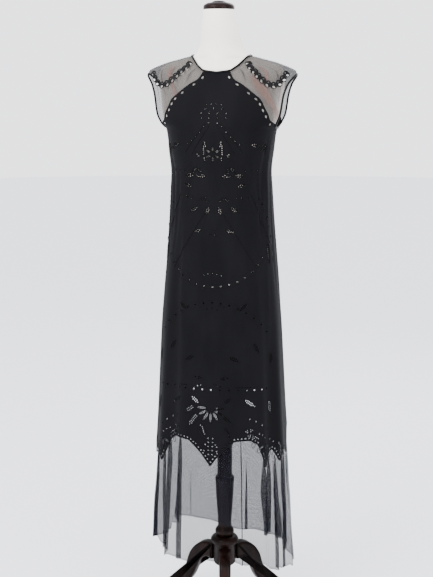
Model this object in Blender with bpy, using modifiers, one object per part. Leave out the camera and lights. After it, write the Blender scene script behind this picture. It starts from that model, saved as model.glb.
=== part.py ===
"""Floor-length cutwork evening dress with a high-low net skirt, on a limbless dress form.

The cloth is cut as flat patterns in two coordinates, the angle round the figure and the level up its
side, given the thickness of cloth, and wrapped round one shared surface. Metres, +Z up, and the front
of the dress faces -Y.
"""
import math
from collections import namedtuple

import bmesh
import bpy
from mathutils import Vector
from mathutils.geometry import delaunay_2d_cdt

# Thickness of each cloth and the clearance between pieces
BODY_WALL = 0.0015
MESH_WALL = 0.0010
NET_WALL = 0.0010
SEAM = 0.0003
BINDING_WIDTH = 0.0055
BINDING_PROUD = 0.0012
BINDING_WALL = MESH_WALL + BINDING_PROUD
APPLIQUE_LIFT = 0.0007
APPLIQUE_WALL = 0.0010
NET_SEAT = 0.0006
NET_TUCK = 0.0035

# Heights of the form and its stand
TORSO_BOTTOM = 1.062
NECK_TOP = 1.845
SLEEVE_TOP = 0.433
COLUMN_BACK = 0.050
COLUMN_RADIUS = 0.023
HUB_RADIUS = 0.035

# Turning of the tripod: one leg points this far round from the front, towards the wearer's left
LEG_TURN = math.radians(12)
LEG_WIDTH = 0.036

# The pattern plane: metres of pattern for each radian round the figure
SPREAD = 0.15
QUARTER = math.pi / 2
EDGE_STEPS = 2
CLEAR_SHARE = 0.25

# Grids of the patterns: degrees between columns, and metres between rows below and above the bodice level
Grid = namedtuple("Grid", "column row bodice_row")
BODICE_LEVEL = 1.40
FRONT_GRID = Grid(6.0, 0.080, 0.025)
BACK_GRID = Grid(6.0, 0.080, 0.080)
YOKE_GRID = Grid(12.0, 0.024, 0.024)
NET_GRID = Grid(6.0, 0.080, 0.080)
NO_GRID = Grid(180.0, 2.0, 2.0)

# Sections of the dress from the floor to the neck. Level is the height up to the shoulder tip, and from
# there it runs in along the shoulder. Ridge is the share of the depth that stays away from the neck.
Section = namedtuple("Section", "level height half_width front back ridge")
SECTIONS = [Section(*row) for row in (
    (0.000, 0.000, 0.2220, 0.190, 0.2340, 1.00),
    (0.150, 0.150, 0.2190, 0.188, 0.2250, 1.00),
    (0.270, 0.270, 0.2125, 0.186, 0.2120, 1.00),
    (0.370, 0.370, 0.2095, 0.182, 0.2020, 1.00),
    (0.437, 0.437, 0.2045, 0.178, 0.1920, 1.00),
    (0.566, 0.566, 0.1990, 0.168, 0.1780, 1.00),
    (0.694, 0.694, 0.1915, 0.160, 0.1660, 1.00),
    (0.819, 0.819, 0.1855, 0.152, 0.1570, 1.00),
    (0.942, 0.942, 0.1790, 0.145, 0.1490, 1.00),
    (1.065, 1.065, 0.1690, 0.136, 0.1420, 1.00),
    (1.155, 1.155, 0.1605, 0.129, 0.1360, 1.00),
    (1.259, 1.259, 0.1520, 0.121, 0.1220, 1.00),
    (1.333, 1.333, 0.1480, 0.117, 0.1100, 1.00),
    (1.386, 1.386, 0.1455, 0.120, 0.1060, 1.00),
    (1.450, 1.450, 0.1525, 0.131, 0.1060, 1.00),
    (1.512, 1.512, 0.1610, 0.129, 0.1090, 1.00),
    (1.530, 1.530, 0.1780, 0.126, 0.1100, 1.00),
    (1.556, 1.556, 0.1945, 0.120, 0.1100, 1.00),
    (1.604, 1.604, 0.2050, 0.107, 0.1070, 1.00),
    (1.640, 1.640, 0.2120, 0.094, 0.1010, 1.00),
    (1.660, 1.660, 0.2165, 0.085, 0.0970, 1.00),
    (1.676, 1.674, 0.2145, 0.0775, 0.0920, 0.95),
    (1.694, 1.684, 0.1980, 0.0745, 0.0880, 0.84),
    (1.716, 1.692, 0.1780, 0.0725, 0.0830, 0.72),
    (1.740, 1.700, 0.1550, 0.0710, 0.0770, 0.62),
    (1.766, 1.7065, 0.1300, 0.0705, 0.0710, 0.57),
    (1.792, 1.713, 0.1050, 0.0700, 0.0670, 0.60),
    (1.812, 1.718, 0.0850, 0.0695, 0.0655, 0.84),
    (1.824, 1.7245, 0.0760, 0.0690, 0.0650, 1.00),
)]
NECK_SPREAD = 0.060
NECK_RADIUS = 0.065
SECTION_SQUARENESS = 0.88

# How far inside the dress the form lies
Ease = namedtuple("Ease", "level side depth drop")
EASES = [Ease(*row) for row in (
    (1.050, 0.0120, 0.0100, 0.0000),
    (1.155, 0.0080, 0.0070, 0.0000),
    (1.259, 0.0170, 0.0160, 0.0000),
    (1.333, 0.0200, 0.0160, 0.0000),
    (1.386, 0.0140, 0.0140, 0.0000),
    (1.450, 0.0100, 0.0065, 0.0000),
    (1.512, 0.0130, 0.0080, 0.0000),
    (1.556, 0.0220, 0.0100, 0.0000),
    (1.604, 0.0260, 0.0100, 0.0000),
    (1.640, 0.0290, 0.0090, 0.0000),
    (1.660, 0.0330, 0.0075, 0.0000),
    (1.676, 0.0340, 0.0060, 0.0008),
    (1.694, 0.0220, 0.0045, 0.0016),
    (1.716, 0.0090, 0.0035, 0.0020),
    (1.740, 0.0030, 0.0030, 0.0020),
    (1.766, 0.0020, 0.0030, 0.0020),
    (1.792, 0.0020, 0.0030, 0.0020),
    (1.812, 0.0030, 0.0035, 0.0015),
)]

# Rings of the neck above the shoulders, which leans forward
NeckRing = namedtuple("NeckRing", "height centre half_width front back")
NECK_RINGS = [NeckRing(*row) for row in (
    (1.7290, -0.001, 0.0705, 0.0645, 0.0600),
    (1.7420, -0.004, 0.0640, 0.0620, 0.0580),
    (1.7600, -0.010, 0.0600, 0.0590, 0.0570),
    (1.7850, -0.021, 0.0550, 0.0550, 0.0540),
    (1.8150, -0.033, 0.0490, 0.0490, 0.0490),
    (NECK_TOP, -0.042, 0.0440, 0.0440, 0.0440),
)]

# Soft folds hanging from the hips: troughs have a negative depth
Fold = namedtuple("Fold", "angle half_width depth top bottom")
FOLDS = [Fold(*row) for row in (
    (-53, 13, 0.0060, 1.30, 0.50),
    (-40, 12, -0.0085, 1.36, 0.48),
    (-26, 12, 0.0050, 1.20, 0.50),
    (32, 13, 0.0040, 1.10, 0.50),
    (47, 12, 0.0050, 1.25, 0.50),
    (60, 13, -0.0080, 1.34, 0.48),
    (74, 12, 0.0055, 1.20, 0.50),
    (108, 14, 0.0060, 1.15, 0.45),
    (124, 13, -0.0080, 1.30, 0.45),
    (150, 16, 0.0070, 1.10, 0.45),
    (172, 14, -0.0070, 1.25, 0.45),
    (-160, 15, 0.0075, 1.05, 0.45),
    (-139, 13, -0.0080, 1.30, 0.45),
    (-114, 15, 0.0065, 1.15, 0.45),
)]

# Deeper flutes of the net, which open below the hem of the body
FLUTES = [Fold(*row) for row in (
    (-81, 9, 0.0060, 0.50, 0.25),
    (-71, 8, -0.0060, 0.50, 0.25),
    (-59, 9, 0.0110, 0.50, 0.30),
    (-47, 9, -0.0120, 0.52, 0.30),
    (-34, 9, 0.0090, 0.50, 0.30),
    (-21, 9, -0.0060, 0.50, 0.32),
    (-6, 10, 0.0060, 0.50, 0.32),
    (9, 9, -0.0060, 0.50, 0.32),
    (23, 10, 0.0080, 0.50, 0.32),
    (37, 9, -0.0070, 0.50, 0.30),
    (48, 9, 0.0120, 0.52, 0.30),
    (60, 9, -0.0130, 0.52, 0.28),
    (71, 9, 0.0110, 0.50, 0.25),
    (82, 8, -0.0050, 0.50, 0.22),
    (98, 10, 0.0120, 0.50, 0.15),
    (113, 9, -0.0120, 0.50, 0.14),
    (127, 10, 0.0130, 0.50, 0.12),
    (142, 9, -0.0110, 0.50, 0.12),
    (156, 10, 0.0140, 0.50, 0.10),
    (170, 9, -0.0100, 0.50, 0.10),
    (-175, 9, 0.0120, 0.50, 0.10),
    (-162, 9, -0.0120, 0.50, 0.10),
    (-148, 10, 0.0140, 0.50, 0.12),
    (-133, 9, -0.0130, 0.50, 0.12),
    (-118, 10, 0.0130, 0.50, 0.14),
    (-104, 9, -0.0100, 0.50, 0.16),
)]

# Edges of the pieces, for the wearer's left half: degrees from the front or the back, and level
Mark = namedtuple("Mark", "angle level")
PathStep = namedtuple("PathStep", "t angle level")
NECK_FRONT = [Mark(*row) for row in (
    (0, 1.670), (10.2, 1.677), (16.3, 1.697), (26.8, 1.740), (42.7, 1.780), (65, 1.803), (90, 1.812))]
NECK_BACK = [Mark(*row) for row in (
    (0, 1.724), (14.3, 1.733), (28.5, 1.760), (43.9, 1.784), (65, 1.803), (90, 1.812))]
HALTER = [Mark(*row) for row in (
    (10.2, 1.677), (13.4, 1.655), (20.7, 1.640), (32.2, 1.613), (38.9, 1.598), (43.9, 1.577),
    (48.8, 1.560), (55.8, 1.540), (70.0, 1.527))]
SCOOP = [Mark(*row) for row in (
    (0, 1.575), (25, 1.572), (45, 1.560), (60, 1.543), (70.0, 1.527))]
ARMHOLE = [Mark(*row) for row in (
    (90, 1.512), (80, 1.515), (70, 1.527), (65, 1.556), (63.5, 1.604), (67, 1.640), (77, 1.662), (90, 1.671))]
HEM_FRONT = [Mark(*row) for row in (
    (0, 0.543), (6, 0.571), (13, 0.596), (22, 0.618), (32, 0.620), (42, 0.604), (46, 0.570), (51, 0.533),
    (56, 0.566), (62, 0.578), (66, 0.560), (70, 0.538), (74, 0.562), (80, 0.570), (85, 0.556), (90, 0.540))]
HEM_BACK = [Mark(*row) for row in (
    (0, 0.612), (6, 0.636), (13, 0.664), (24, 0.690), (36, 0.696), (44, 0.680), (48, 0.655), (53, 0.622),
    (58, 0.652), (63, 0.656), (67, 0.632), (71, 0.602), (75, 0.622), (80, 0.612), (85, 0.575), (90, 0.540))]
NET_TOP_FRONT = 0.720
NET_TOP_BACK = 0.800
NET_HEM = [Mark(*row) for row in (
    (-180, 0.062), (-150, 0.070), (-120, 0.115), (-105, 0.170), (-90, 0.236), (-75, 0.262), (-60, 0.282),
    (-48, 0.300), (-38, 0.345), (-26, 0.380), (-5, 0.384), (15, 0.362), (40, 0.345), (60, 0.314),
    (75, 0.275), (90, 0.218), (103, 0.160), (120, 0.112), (150, 0.068), (180, 0.062))]
APPLIQUE_PATH = [Mark(*row) for row in (
    (34.0, 1.7440), (29.0, 1.7130), (28.5, 1.6890), (31.5, 1.6680), (37.0, 1.6510), (43.0, 1.6400),
    (49.0, 1.6360), (54.5, 1.6410), (58.5, 1.6530), (62.0, 1.6650), (66.0, 1.6730))]
APPLIQUE_LOBES = 10
APPLIQUE_LOBE_STEPS = 4
APPLIQUE_HALF_WIDTH = 0.0070
APPLIQUE_WAIST = 0.62
APPLIQUE_HOLE = (0.0048, 0.0040)

# Runs of eyelets on the front: a run is level between its ends, plus a bulge in its middle
Run = namedtuple("Run", "start_angle start_level end_angle end_level bulge count radius mirrored")
FRONT_RUNS = [Run(*row) for row in (
    (-7.0, 1.572, 7.0, 1.572, 0.002, 3, 0.0026, False),
    (-10.5, 1.560, 10.5, 1.560, 0.000, 4, 0.0026, False),
    (-10.5, 1.547, 10.5, 1.547, 0.000, 4, 0.0026, False),
    (-4.0, 1.533, 4.0, 1.533, 0.000, 2, 0.0026, False),
    (8.5, 1.524, 29.0, 1.474, -0.004, 5, 0.0024, True),
    (37.0, 1.398, 55.0, 1.399, 0.000, 3, 0.0024, True),
    (26.0, 1.322, 47.0, 1.323, 0.000, 4, 0.0024, True),
    (58.0, 1.318, 77.0, 1.206, 0.010, 6, 0.0026, True),
    (-58.0, 1.152, 58.0, 1.152, -0.082, 15, 0.0030, False),
    (-58.0, 0.934, 58.0, 0.934, 0.090, 15, 0.0030, False),
    (-56.0, 0.766, 56.0, 0.766, 0.004, 15, 0.0030, False),
    (35.0, 0.683, 53.0, 0.645, 0.004, 4, 0.0028, True),
    (-13.0, 0.607, 13.0, 0.607, 0.000, 4, 0.0026, False),
    (-5.5, 0.588, 5.5, 0.588, 0.000, 2, 0.0026, False),
)]
BACK_RUNS = [Run(*row) for row in (
    (-58.0, 1.152, 58.0, 1.152, -0.082, 13, 0.0030, False),
    (-58.0, 0.934, 58.0, 0.934, 0.090, 13, 0.0030, False),
    (-56.0, 0.780, 56.0, 0.780, 0.004, 13, 0.0030, False),
)]

# Sprays of leaf-shaped cuts round a centre: turns are in degrees, anticlockwise from the wearer's left
Spray = namedtuple("Spray", "angle level first_turn last_turn count length width start mirrored")
FRONT_SPRAYS = [Spray(*row) for row in (
    (0.0, 1.448, 30, 330, 6, 0.0190, 0.0060, 0.0060, False),
    (57.0, 1.466, 45, 315, 4, 0.0110, 0.0060, 0.0030, True),
    (20.0, 1.394, 10, 170, 5, 0.0140, 0.0055, 0.0050, True),
    (11.5, 1.312, 15, 165, 4, 0.0130, 0.0055, 0.0045, True),
    (79.5, 1.155, 90, 270, 2, 0.0240, 0.0060, 0.0040, True),
    (0.0, 1.226, 45, 315, 4, 0.0110, 0.0055, 0.0030, False),
    (0.0, 0.716, 180, 360, 7, 0.0340, 0.0080, 0.0120, False),
    (50.0, 0.602, 210, 330, 3, 0.0200, 0.0065, 0.0040, True),
)]
EDGE_EYELETS = 8
EDGE_EYELET_START = 0.6
EDGE_EYELET_RADIUS = 0.0031
EDGE_EYELET_INSET = 0.0085
EYELET_SIDES = 5

BUTTON_RADIUS = 0.0045
BUTTON_FLATNESS = 0.55

# Levels of the form's rings, and the plate below it as distances down from its top and shares of its size
TORSO_SIDES = 24
TORSO_LEVELS = (TORSO_BOTTOM, 1.15, 1.25, 1.34, 1.40, 1.46, 1.52, 1.58, 1.63, 1.660, 1.676, 1.694, 1.716,
                1.740, 1.766, 1.792, 1.812)
PLATE_THICKNESS = 0.014
PLATE_RINGS = ((PLATE_THICKNESS, 0.95), (0.010, 0.99), (0.0, 0.99))

# Turned profiles as radius and height: the cap's above the neck, the others above the floor
TURNED_SIDES = 18
SOCKET_FLOOR = SLEEVE_TOP - 0.035
BEAD_HEIGHT = 0.544
HUB_TOP = 0.2375
CAP_PROFILE = (
    (0.0, 0.0240), (0.012, 0.0232), (0.020, 0.0205), (0.026, 0.0180), (0.034, 0.0170), (0.040, 0.0135),
    (0.0435, 0.0100), (0.0445, 0.0050), (0.0440, 0.0), (0.0, 0.0))
COLUMN_TOP = TORSO_BOTTOM - SEAM - PLATE_THICKNESS - SEAM
COLUMN_PROFILE = (
    (0.0, COLUMN_TOP), (0.0350, COLUMN_TOP), (0.0350, COLUMN_TOP - 0.012),
    (COLUMN_RADIUS, COLUMN_TOP - 0.026), (COLUMN_RADIUS, BEAD_HEIGHT + 0.018), (0.0235, BEAD_HEIGHT + 0.010),
    (0.0270, BEAD_HEIGHT + 0.005), (0.0270, BEAD_HEIGHT - 0.005), (0.0235, BEAD_HEIGHT - 0.010),
    (COLUMN_RADIUS, BEAD_HEIGHT - 0.018), (COLUMN_RADIUS, SOCKET_FLOOR + SEAM), (0.0, SOCKET_FLOOR + SEAM))
SLEEVE_PROFILE = (
    (0.0, SOCKET_FLOOR), (COLUMN_RADIUS + SEAM, SOCKET_FLOOR), (COLUMN_RADIUS + SEAM, SLEEVE_TOP),
    (0.0275, SLEEVE_TOP), (0.0298, 0.428), (0.0298, 0.420), (0.0285, 0.408), (0.0268, 0.370),
    (0.0235, 0.320), (0.0212, 0.285), (0.0215, 0.268), (0.0255, 0.262), (0.0292, 0.256), (0.0295, 0.248),
    (0.0262, 0.241), (0.0240, HUB_TOP), (0.0, HUB_TOP))
HUB_PROFILE = (
    (0.0, HUB_TOP - SEAM), (0.030, HUB_TOP - SEAM), (0.040, 0.2312), (0.0438, 0.2242), (0.0438, 0.2172),
    (0.0395, 0.2112), (HUB_RADIUS, 0.2082), (HUB_RADIUS, 0.150), (0.030, 0.142), (0.020, 0.136),
    (0.008, 0.133), (0.0, 0.133))

# Middle line of a leg from the hub outwards: distance from the column's axis, height, depth of the wood
LegPoint = namedtuple("LegPoint", "reach height depth")
LEG_SPINE = [LegPoint(*row) for row in (
    (HUB_RADIUS + SEAM, 0.1780, 0.052), (0.060, 0.1790, 0.050), (0.084, 0.1680, 0.047),
    (0.104, 0.1440, 0.043), (0.116, 0.1130, 0.039), (0.128, 0.0820, 0.035), (0.148, 0.0540, 0.031),
    (0.178, 0.0330, 0.027), (0.208, 0.0215, 0.025), (0.230, 0.0150, 0.026))]
SOLE_INNER = 0.196
SOLE_OUTER = 0.244
LEG_UNDERSIDE_END = 0.190
TOE = ((0.246, 0.018), (SOLE_OUTER, 0.0), (SOLE_INNER, 0.0))

# Colours read from the photograph, with roughness and metallic value
CLOTH_BLACK = ((0.011, 0.011, 0.014, 1.0), 0.62, 0.0)
MESH_BLACK = ((0.020, 0.020, 0.024, 1.0), 0.70, 0.0)
NET_BLACK = ((0.016, 0.016, 0.020, 1.0), 0.75, 0.0)
TRIM_BLACK = ((0.008, 0.008, 0.010, 1.0), 0.55, 0.0)
JERSEY_CREAM = ((0.82, 0.78, 0.72, 1.0), 0.80, 0.0)
WALNUT = ((0.022, 0.010, 0.008, 1.0), 0.30, 0.0)


def monotone_slopes(keys, values):
    """Slopes at the rows of a table for a smooth curve that never overshoots them."""
    steps = [(values[i + 1] - values[i]) / (keys[i + 1] - keys[i]) for i in range(len(keys) - 1)]
    slopes = [steps[0]]
    for before, after in zip(steps, steps[1:]):
        same_way = before * after > 0
        slopes.append(2 * before * after / (before + after) if same_way else 0.0)
    slopes.append(steps[-1])
    return slopes


class Curve:
    """One column of a table as a smooth curve of another column."""

    def __init__(self, rows, key, column):
        self.keys = [getattr(row, key) for row in rows]
        self.values = [getattr(row, column) for row in rows]
        self.slopes = monotone_slopes(self.keys, self.values)

    def __call__(self, key):
        key = min(max(key, self.keys[0]), self.keys[-1])
        i = 0
        while i < len(self.keys) - 2 and key > self.keys[i + 1]:
            i += 1
        span = self.keys[i + 1] - self.keys[i]
        t = (key - self.keys[i]) / span
        near = (1 + 2 * t) * (1 - t) ** 2
        far = t * t * (3 - 2 * t)
        bends = t * (1 - t) ** 2 * self.slopes[i] - t * t * (1 - t) * self.slopes[i + 1]
        return near * self.values[i] + far * self.values[i + 1] + span * bends


HEIGHT = Curve(SECTIONS, "level", "height")
HALF_WIDTH = Curve(SECTIONS, "level", "half_width")
FRONT_DEPTH = Curve(SECTIONS, "level", "front")
BACK_DEPTH = Curve(SECTIONS, "level", "back")
RIDGE = Curve(SECTIONS, "level", "ridge")
EASE_SIDE = Curve(EASES, "level", "side")
EASE_DEPTH = Curve(EASES, "level", "depth")
EASE_DROP = Curve(EASES, "level", "drop")
NET_HEM_LEVEL = Curve(NET_HEM, "angle", "level")


def section_point(angle, level, ease_side=0.0, ease_depth=0.0):
    """Point of a smooth section without folds, drawn in by the eases."""
    s = math.sin(angle)
    c = math.cos(angle)
    half_width = HALF_WIDTH(level) - ease_side
    depth = (FRONT_DEPTH(level) if c > 0 else BACK_DEPTH(level)) - ease_depth
    ridge = RIDGE(level)
    x = half_width * s
    share = ridge + (1 - ridge) * math.exp(-(x / NECK_SPREAD) ** 2)
    y = -math.copysign(abs(c) ** SECTION_SQUARENESS * depth * share, c)
    return Vector((x, y, HEIGHT(level)))


def fold_depth(folds, angle, level):
    """Sum of the folds' outward displacement at a place on the cloth."""
    total = 0.0
    for fold in folds:
        if level >= fold.top:
            continue
        away = math.remainder(angle - math.radians(fold.angle), 2 * math.pi)
        share = away / math.radians(fold.half_width)
        if abs(share) >= 1:
            continue
        t = min(1.0, (fold.top - level) / (fold.top - fold.bottom))
        total += fold.depth * t * t * (3 - 2 * t) * math.cos(share * QUARTER) ** 2
    return total


def folded_point(angle, level, folds):
    """Point of the hanging cloth, with its folds."""
    point = section_point(angle, level)
    reach = math.hypot(point.x, point.y)
    push = 1 + fold_depth(folds, angle, level) / reach
    return Vector((point.x * push, point.y * push, point.z))


def tangents(angle, level, folds):
    """Directions along the angle and along the level, as changes for each unit of both."""
    step_angle = 0.004
    step_level = 0.0008
    left, right = (folded_point(angle + step, level, folds) for step in (-step_angle, step_angle))
    below, above = (folded_point(angle, level + step, folds) for step in (-step_level, step_level))
    return (right - left) / (2 * step_angle), (above - below) / (2 * step_level)


def cloth(angle, level, out=0.0, folds=FOLDS):
    """Point at a distance outside the middle line of the cloth's outer face."""
    round_way, up_way = tangents(angle, level, folds)
    return folded_point(angle, level, folds) + round_way.cross(up_way).normalized() * out


def shifted(angle, level, way):
    """Place reached from a place on the cloth by a short move in space."""
    round_way, up_way = tangents(angle, level, FOLDS)
    rr = round_way.dot(round_way)
    ru = round_way.dot(up_way)
    uu = up_way.dot(up_way)
    wr = way.dot(round_way)
    wu = way.dot(up_way)
    det = rr * uu - ru * ru
    return angle + (wr * uu - wu * ru) / det, level + (wu * rr - wr * ru) / det


def inset(outline, distance):
    """Outline drawn in by a distance along the cloth; it runs anticlockwise as seen from outside."""
    result = []
    count = len(outline)
    for i, (angle, level) in enumerate(outline):
        before = cloth(*outline[i - 1])
        here = cloth(angle, level)
        after = cloth(*outline[(i + 1) % count])
        round_way, up_way = tangents(angle, level, FOLDS)
        normal = round_way.cross(up_way).normalized()
        into = ((here - before).normalized() + (after - here).normalized()) / 2
        mitre = 1 / max(0.5, into.length)
        inward = normal.cross(into).normalized()
        result.append(shifted(angle, level, inward * distance * mitre))
    return result


def marks_path(marks, steps, centre=0.0):
    """Smooth path through marks on the wearer's left; centre is 0 for the front and pi for the back."""
    rows = [PathStep(i, mark.angle, mark.level) for i, mark in enumerate(marks)]
    angle_curve = Curve(rows, "t", "angle")
    level_curve = Curve(rows, "t", "level")
    places = [i / steps for i in range((len(marks) - 1) * steps + 1)]
    return [placed(angle_curve(t), level_curve(t), centre) for t in places]


def placed(degrees, level, centre=0.0, side=1):
    """Place on the cloth from degrees to one side of the centre front or centre back."""
    turn = side if centre == 0.0 else -side
    return centre + turn * math.radians(degrees), level


def run_between(first, last, steps):
    """Evenly spaced places between two places, without its ends."""
    return [(first[0] + (last[0] - first[0]) * i / steps, first[1] + (last[1] - first[1]) * i / steps)
            for i in range(1, steps)]


def joined(*paths):
    """One closed outline from paths that follow each other, with shared ends kept once."""
    outline = []
    for path in paths:
        for place in path:
            if not outline or math.dist(outline[-1], place) > 1e-6:
                outline.append(place)
    if math.dist(outline[0], outline[-1]) < 1e-6:
        outline.pop()
    return outline


def mirrored(path, centre=0.0):
    """The same path on the other side of a centre line, run the other way."""
    return [(2 * centre - angle, level) for angle, level in reversed(path)]


def facing_out(outline):
    """Outline turned to run anticlockwise in the pattern plane."""
    area = sum(a[0] * b[1] - b[0] * a[1] for a, b in zip(outline, outline[1:] + outline[:1]))
    return outline if area > 0 else outline[::-1]


def inside(place, outline):
    """Whether a pattern place lies inside an outline."""
    x, y = place
    odd = False
    for (ax, ay), (bx, by) in zip(outline, outline[1:] + outline[:1]):
        if (ay > y) != (by > y) and x < ax + (bx - ax) * (y - ay) / (by - ay):
            odd = not odd
    return odd


def edge_distance(place, outline):
    """Shortest distance from a pattern place to an outline."""
    x, y = place
    nearest = 1.0
    for (ax, ay), (bx, by) in zip(outline, outline[1:] + outline[:1]):
        along = (bx - ax) ** 2 + (by - ay) ** 2
        t = ((x - ax) * (bx - ax) + (y - ay) * (by - ay)) / along
        t = min(1.0, max(0.0, t))
        nearest = min(nearest, math.hypot(x - ax - t * (bx - ax), y - ay - t * (by - ay)))
    return nearest


def grid_lines(low, high, step):
    """Multiples of a step that cover a range."""
    return [i * step for i in range(math.floor(low / step), math.ceil(high / step) + 1)]


def flat_pattern(outline, holes, grid):
    """Flat triangulated pattern with its holes left open, as places and triangles.

    The levels are squeezed until the grid is square, so that the triangles follow its columns and with
    them the folds.
    """
    angle_step = math.radians(grid.column)
    cell = angle_step * SPREAD
    skirt_scale = cell / grid.row
    bodice_scale = cell / grid.bodice_row
    turn = BODICE_LEVEL * skirt_scale
    clear = CLEAR_SHARE * cell

    def squeezed(angle, level):
        above = max(0.0, level - BODICE_LEVEL)
        return angle * SPREAD, (level - above) * skirt_scale + above * bodice_scale

    def released(x, y):
        above = max(0.0, y - turn)
        return x / SPREAD, (y - above) / skirt_scale + above / bodice_scale

    loops = [[squeezed(angle, level) for angle, level in loop] for loop in [outline] + holes]
    places = [place for loop in loops for place in loop]
    edges = []
    start = 0
    for loop in loops:
        edges += [(start + i, start + (i + 1) % len(loop)) for i in range(len(loop))]
        start += len(loop)
    angles = [angle for angle, _ in outline]
    lowest = min(level for _, level in outline)
    highest = max(level for _, level in outline)
    rows = [level for level in grid_lines(lowest, highest, grid.row) if level < BODICE_LEVEL]
    rows += [level for level in grid_lines(lowest, highest, grid.bodice_row) if level >= BODICE_LEVEL]
    for column in grid_lines(min(angles), max(angles), angle_step):
        for level in rows:
            place = squeezed(column, level)
            if inside(place, loops[0]) and min(edge_distance(place, loop) for loop in loops) > clear:
                places.append(place)
    flat, _, triangles, _, _, _ = delaunay_2d_cdt([Vector(place) for place in places], edges, [], 1, 1e-7)
    kept = []
    for triangle in triangles:
        middle = sum((flat[i] for i in triangle), Vector((0, 0))) / 3
        if inside(middle, loops[0]) and not any(inside(middle, loop) for loop in loops[1:]):
            kept.append(triangle)
    return [released(place.x, place.y) for place in flat], kept


def collection_named(name):
    """A collection linked to the scene."""
    collection = bpy.data.collections.new(name)
    bpy.context.scene.collection.children.link(collection)
    return collection


def material(name, look):
    """Principled material of one part."""
    colour, roughness, metallic = look
    result = bpy.data.materials.new(name)
    result.use_nodes = True
    shader = result.node_tree.nodes["Principled BSDF"]
    shader.inputs["Base Color"].default_value = colour
    shader.inputs["Roughness"].default_value = roughness
    shader.inputs["Metallic"].default_value = metallic
    result.diffuse_color = colour
    return result


def add_object(name, data, look, smooth=True):
    """Object of one part, under the empty that places the whole figure."""
    data.materials.append(material(name, look))
    thing = bpy.data.objects.new(name, data)
    PARTS.objects.link(thing)
    thing.parent = FIGURE
    if smooth and isinstance(data, bpy.types.Mesh):
        data.shade_smooth()
        data.set_sharp_from_angle(angle=math.radians(40))
    return thing


def mesh_from(bm, name):
    """Mesh of a finished bmesh with its faces turned out."""
    bmesh.ops.recalc_face_normals(bm, faces=bm.faces[:])
    mesh = bpy.data.meshes.new(name)
    bm.to_mesh(mesh)
    bm.free()
    return mesh


def cloth_piece(name, outline, look, wall, grid=NO_GRID, holes=(), lift=0.0, folds=FOLDS, seam=SEAM / 2,
                sink=None):
    """Piece cut flat, given its thickness and wrapped round the figure, sunk inwards where asked."""
    outline = inset(facing_out(outline), seam)
    flat, triangles = flat_pattern(outline, list(holes), grid)
    bm = bmesh.new()
    verts = [bm.verts.new((angle, level, lift)) for angle, level in flat]
    for triangle in triangles:
        bm.faces.new([verts[i] for i in triangle])
    loose = [vert for vert in bm.verts if not vert.link_faces]
    bmesh.ops.delete(bm, geom=loose, context="VERTS")
    grown = bmesh.ops.extrude_face_region(bm, geom=bm.faces[:], use_keep_orig=True)
    for item in grown["geom"]:
        if isinstance(item, bmesh.types.BMVert):
            item.co.z = lift - wall
    for vert in bm.verts:
        angle, level, out = vert.co
        deeper = sink(angle, level) if sink else 0.0
        vert.co = cloth(angle, level, out - deeper, folds)
    return add_object(name, mesh_from(bm, name), look)


def stretch(angle, level):
    """Metres of cloth for each radian round the figure and for each unit of level."""
    round_way, up_way = tangents(angle, level, FOLDS)
    return round_way.length, up_way.length


def cut_shape(angle, level, points):
    """Hole in the pattern from points in metres on the cloth."""
    across, up = stretch(angle, level)
    return [(angle + x / across, level + y / up) for x, y in points]


def eyelet(angle, level, radius):
    """Round eyelet as a small polygon."""
    turns = [2 * math.pi * i / EYELET_SIDES + QUARTER for i in range(EYELET_SIDES)]
    return cut_shape(angle, level, [(radius * math.cos(t), radius * math.sin(t)) for t in turns])


def leaf(angle, level, turn, start, length, width):
    """Leaf-shaped cut that points away from a centre."""
    outline = ((0.0, 0.0), (0.35, 0.5), (0.75, 0.32), (1.0, 0.0), (0.75, -0.32), (0.35, -0.5))
    points = []
    for along, aside in outline:
        reach = start + along * length
        shift = aside * width
        points.append((reach * math.cos(turn) - shift * math.sin(turn),
                       reach * math.sin(turn) + shift * math.cos(turn)))
    return cut_shape(angle, level, points)


def run_holes(runs, centre=0.0):
    """Eyelets of a table of runs."""
    holes = []
    for run in runs:
        for side in (1, -1) if run.mirrored else (1,):
            for i in range(run.count):
                t = i / (run.count - 1)
                degrees = run.start_angle + (run.end_angle - run.start_angle) * t
                level = run.start_level + (run.end_level - run.start_level) * t + run.bulge * 4 * t * (1 - t)
                holes.append(eyelet(*placed(degrees, level, centre, side), run.radius))
    return holes


def spray_holes(sprays):
    """Leaf-shaped cuts of a table of sprays."""
    holes = []
    for spray in sprays:
        for side in (1, -1) if spray.mirrored else (1,):
            angle, level = placed(spray.angle, spray.level, 0.0, side)
            for i in range(spray.count):
                turn = spray.first_turn + (spray.last_turn - spray.first_turn) * i / (spray.count - 1)
                turn = math.radians(turn if side > 0 else 180 - turn)
                holes.append(leaf(angle, level, turn, spray.start, spray.length, spray.width))
    return holes


def edge_holes():
    """Eyelets that follow the halter edge of the front."""
    holes = []
    path = marks_path(HALTER, 6)
    for side in (1, -1):
        edge = path if side > 0 else [(-angle, level) for angle, level in path]
        for i in range(EDGE_EYELETS):
            share = (i + EDGE_EYELET_START) / (EDGE_EYELETS - 1 + 2 * EDGE_EYELET_START)
            at = 1 + round(share * (len(edge) - 3))
            along = (cloth(*edge[at + 1]) - cloth(*edge[at - 1])).normalized()
            round_way, up_way = tangents(*edge[at], FOLDS)
            inward = round_way.cross(up_way).normalized().cross(along) * -side
            holes.append(eyelet(*shifted(*edge[at], inward * EDGE_EYELET_INSET), EDGE_EYELET_RADIUS))
    return holes


def side_levels(low, high, steps):
    """Places up the side seam of the wearer's left."""
    return [(QUARTER, low + (high - low) * i / steps) for i in range(steps + 1)]


def armhole_parts(centre):
    """Armhole edge of one half, split where the yoke begins: below it and above it."""
    path = marks_path(ARMHOLE, EDGE_STEPS, centre)
    split = 2 * EDGE_STEPS
    return path[:split + 1], path[split:]


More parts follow.
